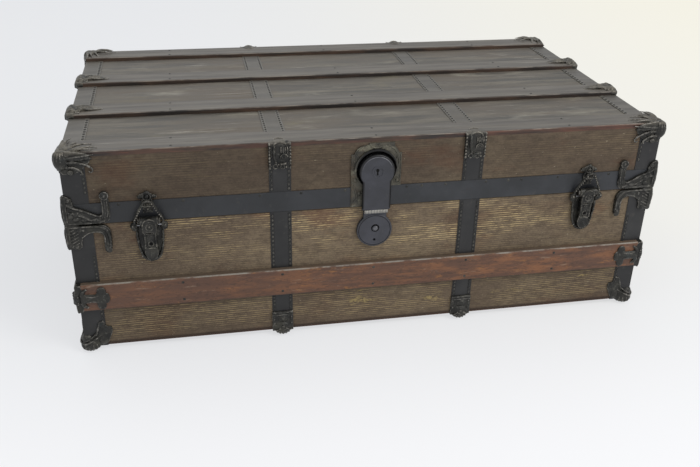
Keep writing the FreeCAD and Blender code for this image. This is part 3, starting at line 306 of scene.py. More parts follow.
def make_iron(name, dark, light):
    """Japanned sheet iron, rubbed, a little rusty and dented, with painted shade to the left, dusty
    on top.
    """
    p = Paint(name, Roughness=0.45, Metallic=0.2, IOR=1.5)
    p.ground(dark, light, p.patches((18, 4, 0.6, 2), (0.35, 0.7)))
    p.wear(("4f4c46", 0.4, (60, 4, 0.7, 9), (0.6, 0.75)),
           ("3e2d20", 0.4, (34, 4, 0.7, 23), (0.64, 0.78)))
    # Painted shade: darker towards the left.
    p.coat("161616", p.step(p.x, 0.05, -0.35), 0.35)
    dust = p.mix(p.patches(((5, 60, 60), 4, 0.6, 3), (0.35, 0.7)), tint("4d4a45"), tint("635f58"))
    dust = p.mix(p.patches((7, 3, 0.5, 8), (0.45, 0.7)), dust, tint("555047"))
    p.coat(dust, p.step(p.z, *ON_TOP), 0.9)
    return p.done(((22, 3, 0.5, 7), 0.5), ((260, 2, 0.5, 4), 0.05),
                  gloss=(0.39, (40, 3, 0.6, 5), 0.2))


def make_bead(name, front, above):
    """Embossed beads, or the strip that they stand on, whose near black on the walls is painted
    shade round the beads: rubbed on the walls, dusty on top.
    """
    p = Paint(name, Roughness=0.45, Metallic=0.2, IOR=1.5)
    p.ground("1c1c1b", front, p.patches((70, 4, 0.65, 8), (0.35, 0.65)))
    p.coat(above, p.step(p.z, *ON_TOP))
    return p.done()


def make_cast(name, dark, light):
    """Cast iron: dark in its hollows, rubbed to pewter on its ridges, dusty over the lid."""
    p = Paint(name, Roughness=0.4, Metallic=0.4, IOR=1.5)
    p.ground(dark, "2f2e2a", p.patches((45, 4, 0.6, 2), (0.35, 0.7)))
    p.wear(("46443a", 0.6, (30, 3, 0.6, 13), (0.52, 0.75)),
           ("3f4a4c", 0.35, (38, 3, 0.6, 33), (0.6, 0.75)),
           ("5f5d56", 0.5, (130, 4, 0.7, 61), (0.55, 0.66)))
    p.coat("69645a", p.step(p.z, 0.327, 0.334), p.patches((90, 4, 0.7, 51), (0.34, 0.56)), 0.75)
    ridges = p.add("NewGeometry", {}).outputs["Pointiness"]
    p.coat(light, p.step(ridges, 0.511, 0.562), p.patches((150, 4, 0.75, 8), (0.4, 0.58)), 0.95)
    p.coat("0c0b0a", p.step(ridges, 0.49, 0.43))
    return p.done(((240, 3, 0.6, 6), 0.14), ((900, 2, 0.5, 4), 0.04),
                  gloss=(0.36, (120, 3, 0.6, 5), 0.22))


def make_leather(name):
    p = Paint(name, Roughness=0.5, IOR=1.5)
    grain = p.add("TexVoronoi", {"Vector": p.place, "Scale": 900}).outputs["Distance"]
    cloud = p.patches((26, 4, 0.6, 2), (0.3, 0.7))
    p.ground("2c1d14", "4b3322", cloud)
    crease = p.patches(((60, 260, 30), 4, 0.7, 9), (0.6, 0.75))
    p.coat("1a110c", crease, 0.6)
    p.wear(("775a3e", 0.6, ((40, 90, 90), 4, 0.7, 17), (0.6, 0.8)))
    return p.done((grain, 0.12), (crease, -0.3), ((40, 3, 0.5, 3), 0.4), gloss=(0.4, cloud, 0.2))


def make_paper(name):
    """The lining: stained paper with faint stripes."""
    p = Paint(name, Roughness=0.9)
    p.ground("9b8a6c", "b6a685", p.patches((6, 5, 0.6, 2), (0.35, 0.7)))
    p.wear(("7a6446", 0.7, (4, 5, 0.7, 9), (0.55, 0.75)))
    stripes = p.math("SINE", p.times(p.plus(p.x, p.y), 260))
    p.coat("6b5a4a", p.step(stripes, 0.55, 0.8), 0.22)
    return p.done(((30, 4, 0.6, 3), 0.4), ((400, 2, 0.5, 5), 0.05))


def make_board(name, dark, light):
    p = Paint(name, Roughness=0.75)
    grain = p.noise((7, 7, 150), 4, 0.65, 5, 0.4)
    p.ground(dark, light, p.step(grain, 0.35, 0.65))
    p.wear(("2b1a12", 0.5, (12, 4, 0.6, 9), (0.55, 0.75)))
    return p.done((grain, 0.3), ((40, 3, 0.5, 3), 0.3))


def make_metal(name, dark, light, rough, metallic=0.9, sheen=0.5):
    p = Paint(name, Roughness=rough, Metallic=metallic, Specular_IOR_Level=sheen)
    p.ground(dark, light, p.patches((60, 4, 0.6, 2), (0.35, 0.7)))
    return p.done(((90, 3, 0.5, 7), 0.15), gloss=(rough - 0.08, (180, 3, 0.6, 5), 0.2))


# On the lock: its painted shade, outward past its neck's sides and its head's rim and back from its
# face, down to the neck and up past the barrel; and the barrel itself. On its plate: the round
# opening's painted shadow.
NECK_SIDE, HEAD_RIM, TURNED_BACK = (0.0188, 0.0196), (0.0242, 0.0248), (-0.2722, -0.2712)
NECK_HIGH, OVER_BARREL, BARREL_FRONT = (0.268, 0.262), (0.2195, 0.2215), (-0.2695, -0.2705)
BARREL, BARREL_GROOVES = (0.2125, 0.2178, 0.0006), 2600
OPENING_UP, OPENING_SHADOW, OPENING_FOOT = 3.5, (0.0314, 0.0306), (0.288, 0.294)


def make_lock(name):
    """Stamped lock metal with a blue cast, with painted shade on its turned-back sides, bright at
    its barrel.
    """
    p = Paint(name, Roughness=0.4, Metallic=0.3, IOR=1.5)
    p.ground("323338", "3e3f46", p.patches((26, 4, 0.6, 2), (0.3, 0.7)))
    p.wear(("5b5a55", 0.35, (90, 4, 0.7, 9), (0.6, 0.75)))
    across = p.math("ABSOLUTE", p.plus(p.x, -LOCK_X * MM))
    up = p.either(p.plus(p.z, -LOCK_Z * MM), 0)
    neck = p.times(p.step(across, *NECK_SIDE), p.step(p.z, *NECK_HIGH))
    # Painted shade: near black on the turned-back sides of the neck and head, above the barrel.
    sides = p.either(neck, p.step(p.length(across, up), *HEAD_RIM), p.step(p.y, *TURNED_BACK))
    p.coat("121213", sides, p.step(p.z, *OVER_BARREL), 0.85)
    grooves = p.step(p.math("SINE", p.times(p.x, BARREL_GROOVES)), 0.75, 0.2)
    p.coat("99968f", p.zone(p.z, *BARREL), p.step(p.y, *BARREL_FRONT), grooves)
    return p.done(((40, 3, 0.5, 7), 0.25), ((500, 2, 0.5, 4), 0.03),
                  gloss=(0.34, (50, 3, 0.6, 5), 0.2))


def make_plate(name):
    """The stamped plate under the lock: old paint gone brown and olive, with painted shadow in
    black over the opening.
    """
    p = Paint(name, Roughness=0.6, Metallic=0.15, IOR=1.5)
    p.ground("2f2e29", "4d4a3f", p.patches((34, 4, 0.65, 2), (0.38, 0.64)))
    p.wear(("5b4c3b", 0.75, (28, 4, 0.65, 15), (0.5, 0.68)),
           ("6f6c5c", 0.7, (52, 4, 0.7, 25), (0.56, 0.68)),
           ("1d1c19", 0.8, (44, 4, 0.7, 45), (0.58, 0.7)))
    across, up = p.plus(p.x, -LOCK_X * MM), p.plus(p.z, -(LOCK_Z + OPENING_UP) * MM)
    # Painted shadow: black in the opening round the hasp's head.
    p.coat("080808", p.step(p.length(across, up), *OPENING_SHADOW), p.step(p.z, *OPENING_FOOT))
    return p.done(((40, 3, 0.5, 7), 0.35), ((160, 3, 0.6, 4), 0.25))


PAINTS = {name: maker(name, *looks) for name, maker, *looks in (
    ("canvas", make_wall_canvas),
    ("canvas_top", make_top_canvas),
    ("slat", make_slat),
    ("slat_top", make_slat),
    ("sheet_iron", make_iron, "202021", "2d2d2d"),
    ("bead", make_bead, "4c4a44", "2d2b28"),
    # The strip under the beads: near black on the walls as painted shade round the beads,
    # dust-coloured on top.
    ("groove", make_bead, "101010", "5d5a53"),
    ("band", make_iron, "26282b", "313337"),
    ("casting", make_cast, "1b1b19", "85817a"),
    ("dark_casting", make_cast, "121211", "8a857b"),
    ("leather", make_leather),
    ("stitch", make_metal, "6f5f45", "8d7c5c", 0.8, 0),
    ("lining", make_paper),
    ("board", make_board, "33211a", "4c3224"),
    ("bare_wood", make_board, "7a5a3c", "9a7850"),
    ("nail", make_metal, "1c1c1a", "47453f", 0.38, 0.4),
    ("lock", make_lock),
    ("plate", make_plate),
    ("plug", make_metal, "2f2f33", "3d3e44", 0.4, 0.3),
    ("steel", make_metal, "6b6b6d", "a3a3a6", 0.28),
    # Near black: the lock's pan, and painted shade in the lever's holes, round the hasp, in the
    # keyhole and on the disc.
    ("pan", make_metal, "070707", "10100f", 0.7, 0, 0.12),
    # Rubbed metal, also used for the bright arc of painted highlight on the hasp's head.
    ("rubbed", make_metal, "55555a", "7d7d80", 0.35, 0.5),
)}


# ---------------------------------------------------------------- shapes

LEAST_RADIUS, RING_LEAST, RING_STEP = 0.15, 5, 24


def turns(count):
    """Equal steps of a whole turn."""
    return np.linspace(0, 2 * math.pi, count, endpoint=False)


def arc(across, up, radius, angles):
    """Places of (across, up) on a circle."""
    return [(across + radius * math.cos(t), up + radius * math.sin(t)) for t in angles]


def spoke(degrees):
    return math.cos(math.radians(degrees)), math.sin(math.radians(degrees))


def spline(a, b, c, d, share):
    """A place between b and c on a Catmull-Rom curve."""
    return 0.5 * (2 * b + (c - a) * share + (2 * a - 5 * b + 4 * c - d) * share * share
                  + (3 * b - a - 3 * c + d) * share ** 3)


def flow(points, radii, steps):
    """A smooth line through the points, and the radii along it."""
    rows = np.array([[*p, r] for p, r in zip(points, radii)], float)
    rows = np.vstack([2 * rows[0] - rows[1], rows, 2 * rows[-1] - rows[-2]])
    out = [spline(*rows[n - 1:n + 3], k / steps)
           for n in range(1, len(rows) - 2) for k in range(steps)]
    out = np.array([*out, rows[-2]])
    return out[:, :3], np.maximum(out[:, 3], LEAST_RADIUS)


def smooth_outline(points, steps=3):
    """A closed outline rounded through its points."""
    count = len(points)
    fours = [[np.array(points[(n + k) % count], float) for k in (-1, 0, 1, 2)]
             for n in range(count)]
    return [tuple(spline(*four, k / steps)) for four in fours for k in range(steps)]


def hoop(low, high, count):
    """Quads between two closed rings of count points, which start at low and high."""
    return [(low + k, low + (k + 1) % count, high + (k + 1) % count, high + k)
            for k in range(count)]


class Clay:
    """Closed lumps that are later melted into one casting, or left as they are."""

    def __init__(self, *parts):
        self.verts, self.faces = [], []
        for part in parts:
            self.lump(part.verts, part.faces)

    def lump(self, verts, faces):
        start = len(self.verts)
        self.verts += [tuple(v) for v in verts]
        self.faces += [tuple(start + i for i in f) for f in faces]

    def rope(self, points, radii, flat=1, up=(0, -1, 0), sides=8, steps=5):
        """A round line through the points, of one radius or of one at each; flat squeezes it."""
        if not hasattr(radii, "__len__"):
            radii = [radii] * len(points)
        path, thick = flow(points, radii, steps)
        up = np.array(up, float)
        verts = []
        for n, (spot, r) in enumerate(zip(path, thick)):
            along = path[min(n + 1, len(path) - 1)] - path[max(n - 1, 0)]
            along = along / (np.linalg.norm(along) or 1)
            side = np.cross(up, along)
            if np.linalg.norm(side) < 1e-3:
                side = np.cross((0.3, 0.2, 1), along)
            side = side / np.linalg.norm(side)
            high = np.cross(along, side)
            verts += [spot + r * (math.cos(t) * side + flat * math.sin(t) * high)
                      for t in turns(sides)]
        last = (len(path) - 1) * sides
        faces = [face for low in range(0, last, sides) for face in hoop(low, low + sides, sides)]
        for ring, spot, order in ((0, path[0], 1), (last, path[-1], -1)):
            tip = len(verts)
            verts.append(spot)
            faces += [(ring + (k + 1) % sides, ring + k, tip)[::order] for k in range(sides)]
        self.lump(verts, faces)

    def ropes(self, *rows):
        """Ropes, each written (points, radii)."""
        for points, radii in rows:
            self.rope(points, radii)

    def ball(self, centre, radii, rings=6, sides=10):
        if not hasattr(radii, "__len__"):
            radii = (radii,) * 3
        centre, radii = np.array(centre, float), np.array(radii, float)
        verts = [centre + radii * (0, 0, 1)]
        for a in range(1, rings):
            high, wide = math.cos(math.pi * a / rings), math.sin(math.pi * a / rings)
            verts += [centre + radii * (*spot, high) for spot in arc(0, 0, wide, turns(sides))]
        verts.append(centre - radii * (0, 0, 1))
        last = len(verts) - 1
        faces = [(0, 1 + k, 1 + (k + 1) % sides) for k in range(sides)]
        for low in range(1, 1 + (rings - 2) * sides, sides):
            faces += [(low + k, low + sides + k, low + sides + (k + 1) % sides,
                       low + (k + 1) % sides) for k in range(sides)]
        low = 1 + (rings - 2) * sides
        faces += [(low + k, last, low + (k + 1) % sides) for k in range(sides)]
        self.lump(verts, faces)

    def balls(self, *rows):
        """Balls, each written (centre, radii) or (centre, radii, rings, sides)."""
        for row in rows:
            self.ball(*row)

    def ring(self, centre, radius, thick, turn=360, start=0, level=False):
        """A ring, or part of one, that faces the front, or that lies level."""
        count = max(RING_LEAST, int(turn / RING_STEP))
        x, y, z = centre
        angles = [math.radians(start + turn * n / count) for n in range(count + 1)]
        if level:
            points = [(a, b, z) for a, b in arc(x, y, radius, angles)]
        else:
            points = [(a, y, b) for a, b in arc(x, z, radius, angles)]
        self.rope(points, thick, up=(0, 0, 1) if level else (0, -1, 0), steps=3)

    def slab(self, outline, front, back):
        """An outline of (across, up) on the front, from one depth to another."""
        count = len(outline)
        verts = [(a, depth, b) for depth in (front, back) for a, b in outline]
        faces = [tuple(range(count)), tuple(range(2 * count - 1, count - 1, -1))]
        faces += [(n, n + count, (n + 1) % count + count, (n + 1) % count) for n in range(count)]
        self.lump(verts, faces)

    def leaf(self, points, front, back):
        """A slab whose outline is rounded through the points."""
        self.slab(smooth_outline(points), front, back)

    def wall(self, outer, inner, front, back):
        """An open wall between two outlines of as many points, from one depth to another."""
        count = len(outer)
        rows = [[(a, depth, b) for a, b in line] for line, depth in
                ((outer, front), (outer, back), (inner, back), (inner, front))]
        faces = [(row * count + n, row * count + n + 1,
                  (row + 1) % 4 * count + n + 1, (row + 1) % 4 * count + n)
                 for row in range(4) for n in range(count - 1)]
        faces += [tuple(row * count for row in range(4)),
                  tuple(row * count + count - 1 for row in range(4))[::-1]]
        self.lump([v for row in rows for v in row], faces)

    def changed(self, *moves):
        """One copy for each move: a function of a point, and whether it turns faces over."""
        made = Clay()
        for move, flips in moves:
            made.lump([move(v) for v in self.verts], [f[::-1] if flips else f for f in self.faces])
        return made

    def twinned(self):
        """Itself, and its mirror image on the other face of the corner."""
        return self.changed(((lambda v: v), False), ((lambda v: (v[1], v[0], v[2])), True))


def linked(name, data):
    """A new object in the scene."""
    made = bpy.data.objects.new(name, data)
    bpy.context.scene.collection.objects.link(made)
    return made


def make(name, clay, body, paint, smooth=True):
    """A piece that rides on a body; its slot is its paint's name."""
    mesh = bpy.data.meshes.new(name)
    mesh.from_pydata([tuple(c * MM for c in v) for v in clay.verts], [], clay.faces)
    mesh.validate()
    mesh.update()
    mesh.polygons.foreach_set("use_smooth", [smooth] * len(mesh.polygons))
    mesh.materials.append(PAINTS[paint])
    made = linked(name, mesh)
    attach(made, body)
    return made


def settle(made, *modifiers):
    """Applies modifiers of (kind, settings) and keeps the mesh that they give."""
    for kind, settings in modifiers:
        modifier = made.modifiers.new(kind, kind)
        for key, value in settings.items():
            setattr(modifier, key, value)
    shown = made.evaluated_get(bpy.context.evaluated_depsgraph_get())
    mesh = bpy.data.meshes.new_from_object(shown)
    made.modifiers.clear()
    made.data = mesh


def melted(name, node, clay, body, voxel=0.9, rounds=2, paint="casting"):
    """One casting: lumps melted together and smoothed, in place of a CAD node."""
    made = make(name, clay, body, paint)
    settle(made,
           ("REMESH", {"mode": "VOXEL", "voxel_size": voxel * MM, "use_smooth_shade": True}),
           ("SMOOTH", {"factor": 0.5, "iterations": rounds}))
    pit(made.data)
    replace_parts(made, node)


PIT_DEPTH, PIT_SCALE, FINE_SHARE, FINE_SCALE = 0.22, 230, 0.7, 2.6


def pit(mesh):
    """Roughens a casting's skin, as sand and wear do."""
    count = len(mesh.vertices)
    spots, normals = np.empty(count * 3), np.empty(count * 3)
    mesh.vertices.foreach_get("co", spots)
    mesh.vertices.foreach_get("normal", normals)
    places = [Vector(spot) for spot in spots.reshape(-1, 3) * PIT_SCALE]
    lift = np.array([noise.noise(spot) + FINE_SHARE * noise.noise(spot * FINE_SCALE)
                     for spot in places]) * PIT_DEPTH * MM
    mesh.vertices.foreach_set("co", spots + normals * np.repeat(lift, 3))
    mesh.update()


def solids(node):
    """The CAD node as lumps in millimetres."""
    clay, mesh = Clay(), NODES[node].data
    clay.lump([tuple(c / MM for c in v.co) for v in mesh.vertices],
              [tuple(f.vertices) for f in mesh.polygons])
    return clay


# ---------------------------------------------------------------- canvas

CLOTH_CELL, CLOTH_THICK, CLOTH_FOOT, SEAM_GAP, LOCK_HOLE = 6, 0.6, 11.5, 0.3, 34


def ripple(across, up, seed):
    """Millimetres that the cloth stands off its board."""
    spot = Vector((across * 0.011, up * 0.016, seed))
    return 0.12 + 0.3 * noise.noise(spot) + 0.12 * noise.noise(spot * 4.5)


def cloth(side, body, corner, across, up, out):
    """One panel of canvas from a corner along two edges, lifted outward by its ripples."""
    name, node = f"{body}_cloth_{side}", f"{'lid' if body == 'lid' else 'body'}_canvas"
    corner, across, up, out = (Vector(v) for v in (corner, across, up, out))
    columns, rows = (max(2, round(edge.length / CLOTH_CELL)) for edge in (across, up))
    verts, faces = [], []
    for j in range(rows + 1):
        for i in range(columns + 1):
            fall = min(1, min(i, columns - i, j, rows - j) / 2)
            lift = fall * ripple(across.length * i / columns, up.length * j / rows,
                                 corner.x + corner.y)
            verts.append(corner + across * (i / columns) + up * (j / rows) + out * lift)
    lock = Vector((LOCK_X, -FACE, LOCK_Z))
    for j in range(rows):
        for i in range(columns):
            first = j * (columns + 1) + i
            face = (first, first + 1, first + columns + 2, first + columns + 1)
            middle = sum((verts[k] for k in face), Vector()) / 4
            if name == "lid_cloth_front" and (middle - lock).length < LOCK_HOLE:
                continue
            faces.append(face)
    sheet = Clay()
    sheet.lump(verts, faces)
    made = make(name, sheet, body, "canvas_top" if side == "top" else "canvas")
    settle(made, ("SOLIDIFY", {"thickness": CLOTH_THICK * MM, "offset": -1}))
    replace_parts(made, node)


def build_canvas():
    for body, low, high in (("trunk", CLOTH_FOOT, SEAM - SEAM_GAP), ("lid", SEAM + SEAM_GAP, TOP)):
        up = (0, 0, high - low)
        cloth("front", body, (-END, -FACE, low), (2 * END, 0, 0), up, (0, -1, 0))
        cloth("back", body, (END, FACE, low), (-2 * END, 0, 0), up, (0, 1, 0))
        cloth("left", body, (-END, FACE, low), (0, -2 * FACE, 0), up, (-1, 0, 0))
        cloth("right", body, (END, -FACE, low), (0, 2 * FACE, 0), up, (1, 0, 0))
    cloth("top", "lid", (-END, -FACE, TOP), (2 * END, 0, 0), (0, 2 * FACE, 0), (0, 0, 1))


# ---------------------------------------------------------------- beads

IRON = 1
CORNER_BEAD, STRAP_BEAD, END_BEAD = 29.5, 12.8, 27
BEAD_HIGH, BEAD_SIDES, STRIP_MARGIN = 1.3, 8, 1


def bead_row(rows, start, end, face, pitch=7, long=2.4, wide=1.7):
    """Oval beads on a thin strip of sheet iron that looks along face, the strip's near black on the
    walls being painted shade round the beads; rows holds both.
    """
    beads, grooves = rows
    start, end, face = Vector(start), Vector(end), Vector(face)
    along = (end - start).normalized()
    side = along.cross(face)
    half = wide + STRIP_MARGIN
    corners = [start + side * half, end + side * half, end - side * half, start - side * half]
    # The strip, whose near black on the walls is painted shade round the beads.
    grooves.lump([c + face * 0.15 for c in corners] + [c - face * 0.3 for c in corners],
                 [(0, 1, 2, 3), (7, 6, 5, 4), (0, 4, 5, 1), (1, 5, 6, 2), (2, 6, 7, 3),
                  (3, 7, 4, 0)])
    count = int((end - start).length / pitch)
    spare = (end - start).length - count * pitch
    for n in range(count):
        middle = start + along * (spare / 2 + (n + 0.5) * pitch)
        verts = [middle + along * (long * share * math.cos(t)) + side * (wide * share * math.sin(t))
                 + face * (BEAD_HIGH * lift)
                 for share, lift in ((1, -0.3), (0.86, 0.6), (0.5, 0.95))
                 for t in turns(BEAD_SIDES)]
        tip = len(verts)
        top = tip - BEAD_SIDES
        verts.append(middle + face * BEAD_HIGH)
        faces = [tuple(range(BEAD_SIDES))[::-1]]
        for low in range(0, top, BEAD_SIDES):
            faces += hoop(low, low + BEAD_SIDES, BEAD_SIDES)
        faces += [(top + k, top + (k + 1) % BEAD_SIDES, tip) for k in range(BEAD_SIDES)]
        beads.lump(verts, [f[::-1] for f in faces])


def build_beads():
    body, lid = (Clay(), Clay()), (Clay(), Clay())
    for side in SIDES:
        for front in SIDES:
            for rows, low, high in ((body, 40, 172), (lid, 268, 303)):
                x, y = side * (END - CORNER_BEAD), front * (FACE + IRON)
                bead_row(rows, (x, y, low), (x, y, high), (0, front, 0))
                x, y = side * (END + IRON), front * (FACE - CORNER_BEAD)
                bead_row(rows, (x, y, low), (x, y, high), (side, 0, 0))
            for edge in (-STRAP_BEAD, STRAP_BEAD):
                x, y = side * STRAP + edge, front * (FACE + IRON)
                for rows, low, high in ((body, 44, 77), (body, 125, 219), (lid, 255, 290)):
                    bead_row(rows, (x, y, low), (x, y, high), (0, front, 0))
        for low, high in ((-214, -105), (-57, 57), (105, 214)):
            for x, *size in ((side * STRAP - STRAP_BEAD, 9), (side * STRAP + STRAP_BEAD, 9),
                             (side * (END - END_BEAD), 10, 2.8, 2.2)):
                bead_row(lid, (x, low, TOP + IRON), (x, high, TOP + IRON), (0, 0, 1), *size)
    for name, rows, rides in (("body", body, "trunk"), ("lid", lid, "lid")):
        for kind, clay in zip(("bead", "groove"), rows):
            make(f"{name}_{kind}s", clay, rides, kind, smooth=kind == "bead")


# ---------------------------------------------------------------- castings
# Clay for a corner is measured inward from its two faces, so what stands out of them is negative.
# Straps and latches are measured from their own middle, and a lid slat's cap from the slat's.

def fan(clay, start, tips, radii, bulge, up):
    """Ribs from one place to several tips, lifted along up on their way."""
    start, up = np.array(start, float), np.array(up, float)
    for tip in tips:
        way = np.array(tip, float) - start
        clay.rope([start, start + 0.3 * way + bulge * up, start + 0.68 * way + bulge * 0.8 * up,
                   tip], radii, up=tuple(up))


def flutes(clay, middle, angles, profile, radii, tilt):
    """Upright ribs round a corner's knob, through a profile of (distance, height)."""
    for angle in angles:
        a, b = spoke(angle)
        clay.rope([(middle + r * a, middle + r * b, z) for r, z in profile], radii,
                  up=(a, b, tilt))


def bumper_clay():
    """Ball, leaf and curling strands of a lid corner, its ribs and what lies over the top."""
    c = Clay()
    c.ball((2.5, 2.5, 320), (11.5, 11.5, 15), 12, 20)
    c.leaf([(0, 304), (10, 300), (20, 301), (27, 305), (35, 311), (41, 318), (41, 327), (30, 332),
            (0, 333)], -2.6, 1)
    fan(c, (9, -5, 325), [(47, -1.2, 328.5), (45, -1.4, 322.5)], [2, 1.9, 1.6, 1], 1.6,
        (0, -1, 0))
    c.ropes(([(9, -5, 319), (22, -5, 319), (36, -4, 314), (44, -3, 307), (41, -2.6, 302),
              (38, -2.6, 305)], [2, 1.9, 1.7, 1.4, 1.2, 0.9]),
            ([(9, -5, 312), (20, -4.8, 311), (29, -3.8, 304), (27, -3, 299)],
             [1.8, 1.8, 1.4, 1]))
    c.ball((14, -4.4, 304), (4.4, 2.6, 4))
    fan(c, (12, 2, 332), [(52, 13, 333.4), (48, 3, 333.6)], [2.2, 2, 1.4, 0.6], 3.2, (0, 0, 1))
    c.ball((23, 6, 333.4), (8, 5, 2.6))
    c = c.twinned()
    c.ball((11, 11, 331), (9, 9, 5.5), 8, 16)
    fan(c, (12, 12, 333), [(46, 25, 333.5), (25, 46, 329)], [2.2, 2, 1.4, 0.6], 3.2, (0, 0, 1))
    flutes(c, 2.5, range(150, 301, 25), [(11.3, 321), (8.6, 330.4), (3, 334.6)], [0.8, 1.2, 0.8],
           0.4)
    return c


def foot_clay():
    """Round fluted foot with a stem, a leaf and lobes that climb the corner iron."""
    c = Clay()
    c.balls(((7, 7, 12.5), (14.5, 14.5, 12.5), 10, 16), ((3.5, 3.5, 24), (9, 9, 8), 8, 14))
    c.leaf([(-2, 14), (20, 10), (33, 14), (38, 24), (42, 34), (41, 43), (34, 45), (31, 52),
            (24, 54), (20, 46), (16, 33), (6, 25), (-2, 24)], -2.4, 1)
    c.ropes(([(-4.4, 0, 21), (3, -5.4, 22.5), (12, -4.2, 28), (20, -2.6, 35)],
             [1, 1.4, 1.3, 0.8]),
            ([(-6.5, 0, 16), (2, -7.6, 17.5), (13, -6, 23), (24, -2.8, 29)],
             [1, 1.5, 1.4, 0.8]),
            ([(17, -3, 30), (21, -3.4, 42), (24, -2.6, 51), (30, -2.2, 54)],
             [1.8, 1.8, 1.4, 0.9]))
    c.balls(((36, -1.6, 38), (6, 3, 6.6)), ((27, -2, 20), (7, 3.4, 7)),
            ((28, -1.8, 47), (4.4, 2.2, 4.8)))
    c = c.twinned()
    flutes(c, 7, range(0, 360, 24), [(8.5, 2), (13.2, 7), (14.6, 14)], [1.2, 2, 1.1], 0.01)
    return c


def upper_clay():
    """Arm, column of three ridges and ringed boss of a seam clamp on the lid."""
    c = Clay()
    c.leaf([(-5, 222), (20, 222), (44, 222), (54, 223.5), (59.5, 230), (60, 245), (59.5, 262),
            (50, 262), (49.5, 248), (48.5, 237.5), (43, 236), (34, 240), (24, 245.5),
            (14.5, 249), (10.5, 253), (9.5, 260), (6, 265), (-5, 266)], -4.4, 1)
    c.ropes(([(-2, -5, 257), (5, -5.2, 252), (13, -5.2, 248), (24, -5.2, 243.6),
              (34, -5.2, 238.4), (44, -5.2, 234), (49, -5, 236)],
             [1.4, 1.8, 1.5, 1.7, 1.4, 1.6, 1.2]),
            ([(0, -4.8, 243), (9, -5.2, 241), (20, -5.2, 236), (30, -5, 230), (42, -5, 227.6),
              (52, -4.8, 226)], [1.4, 2.2, 1.4, 1.6, 1.2, 1.4]),
            ([(-3, -4.8, 224.4), (20, -5, 224.6), (46, -4.8, 224.2)], [1.3, 1.6, 1.2]))
    for n, u in enumerate((50.8, 54.2, 57.6)):
        c.rope([(u - 2, -4.8, 230 + n), (u, -5, 242), (u - 0.4, -4.8, 259)], [1.2, 1.5, 1.1])
    c.ball((54.5, -4, 266.5), (7, 3.6, 7), 8, 14)
    c.ring((54.5, -6.4, 266.5), 5.4, 1.4)
    c.balls(((54.5, -6.6, 266.5), (2.8, 2.2, 2.8)), ((5, -5, 261), (3.4, 2.2, 3.4)),
            ((12, -4.8, 231), (5, 2, 3.4)), ((24, -4.8, 230), (5, 2.2, 3.4)),
            ((13, -4.9, 239), (5, 2.2, 4)), ((37, -4.8, 229), (5, 1.9, 2.4)))
    return c.twinned()


def lower_clay():
    """Hatched panel and curling arm of a seam clamp on the body."""
    c = Clay()
    c.leaf([(-5, 220.2), (20, 220.2), (43, 220), (52, 218), (57.5, 211), (58.5, 200), (58, 184),
            (55.5, 176), (51, 174.5), (47.6, 178), (47, 190), (48, 198), (46, 204.5), (40, 208),
            (31, 207.5), (22, 203), (16.5, 195), (15.5, 185), (9, 181.5), (3, 184), (-5, 184.5)],
           -4.4, 1)
    c.ropes(([(0, -4.9, 218), (20, -5.2, 218.6), (40, -5.2, 218), (49, -5.2, 215),
              (54.5, -5.2, 208), (56.4, -5.2, 197), (56, -5, 186)],
             [1.3, 1.6, 1.7, 2.2, 2.4, 2.2, 1.4]),
            ([(17, -4.8, 201), (28, -4.9, 208.5), (41, -4.9, 209.5), (48.4, -4.9, 203),
              (49, -4.9, 190), (49.5, -4.9, 181)], [1, 1.1, 1.2, 1.2, 1.1, 1]))
    c.ball((53, -5, 179.5), (5, 3, 5.6), 8, 12)
    for low in range(186, 212, 5):
        c.rope([(0, -4.6, low), (6, -4.9, low + 3.4), (12.5, -4.6, low + 7)], [0.8, 1, 0.8])
    c.balls(((20, -4.8, 213), (2.6, 1.8, 2.6)), ((9, -4.8, 187), (3, 2, 3)))
    return c.twinned()


def clamp_clay():
    """Beaded borders, comb ribs, arcs, a bar and scrolls of a strap clamp, with short claws."""
    c = Clay()
    c.slab([(-16.6, 292), (16.6, 292), (16.6, 332), (-16.6, 332)], -4.2, 1)
    c.ball((0, 3, 331), (16.6, 8, 3), 8, 14)
    c.rope([(-10, -4.4, 327), (-7, -4.8, 331.6), (0, -4.6, 333.6), (7, -4.8, 331.6),
            (10, -4.4, 327)], 1.3)
    c.balls(*(((side * 15, -4.9, 294 + 5.2 * n), (1.7, 1.5, 2))
              for side in SIDES for n in range(8)))
    c.ring((0, 7, 332.6), 8, 1.1, 180, 0, level=True)
    for s in (1.6 + 3.1 * n for n in range(4)):
        c.rope([(s, -5, 316.5), (s, -6.2, 321), (s, -5, 326)], [0.9, 1.2, 0.9])
    c.ring((6, -5.4, 309.5), 5.4, 1.2, 180, 10)
    c.ring((6, -4.8, 309.5), 2.6, 0.9, 200, 0)
    c.ropes(([(-8, -5, 328), (-8.6, -6.4, 314), (-6, -5.6, 302)], [1.8, 2.8, 1.8]),
            ([(-3, -5.6, 299.5), (3, -6.2, 300), (9, -5.6, 300.6)], [1.3, 1.8, 1.3]))
    c.ring((-7, -4.6, 296), 3.2, 1)
    c.ring((3.5, -4.6, 294.8), 2.8, 1)
    c.ball((9, -4.8, 295), 1.8)
    return c


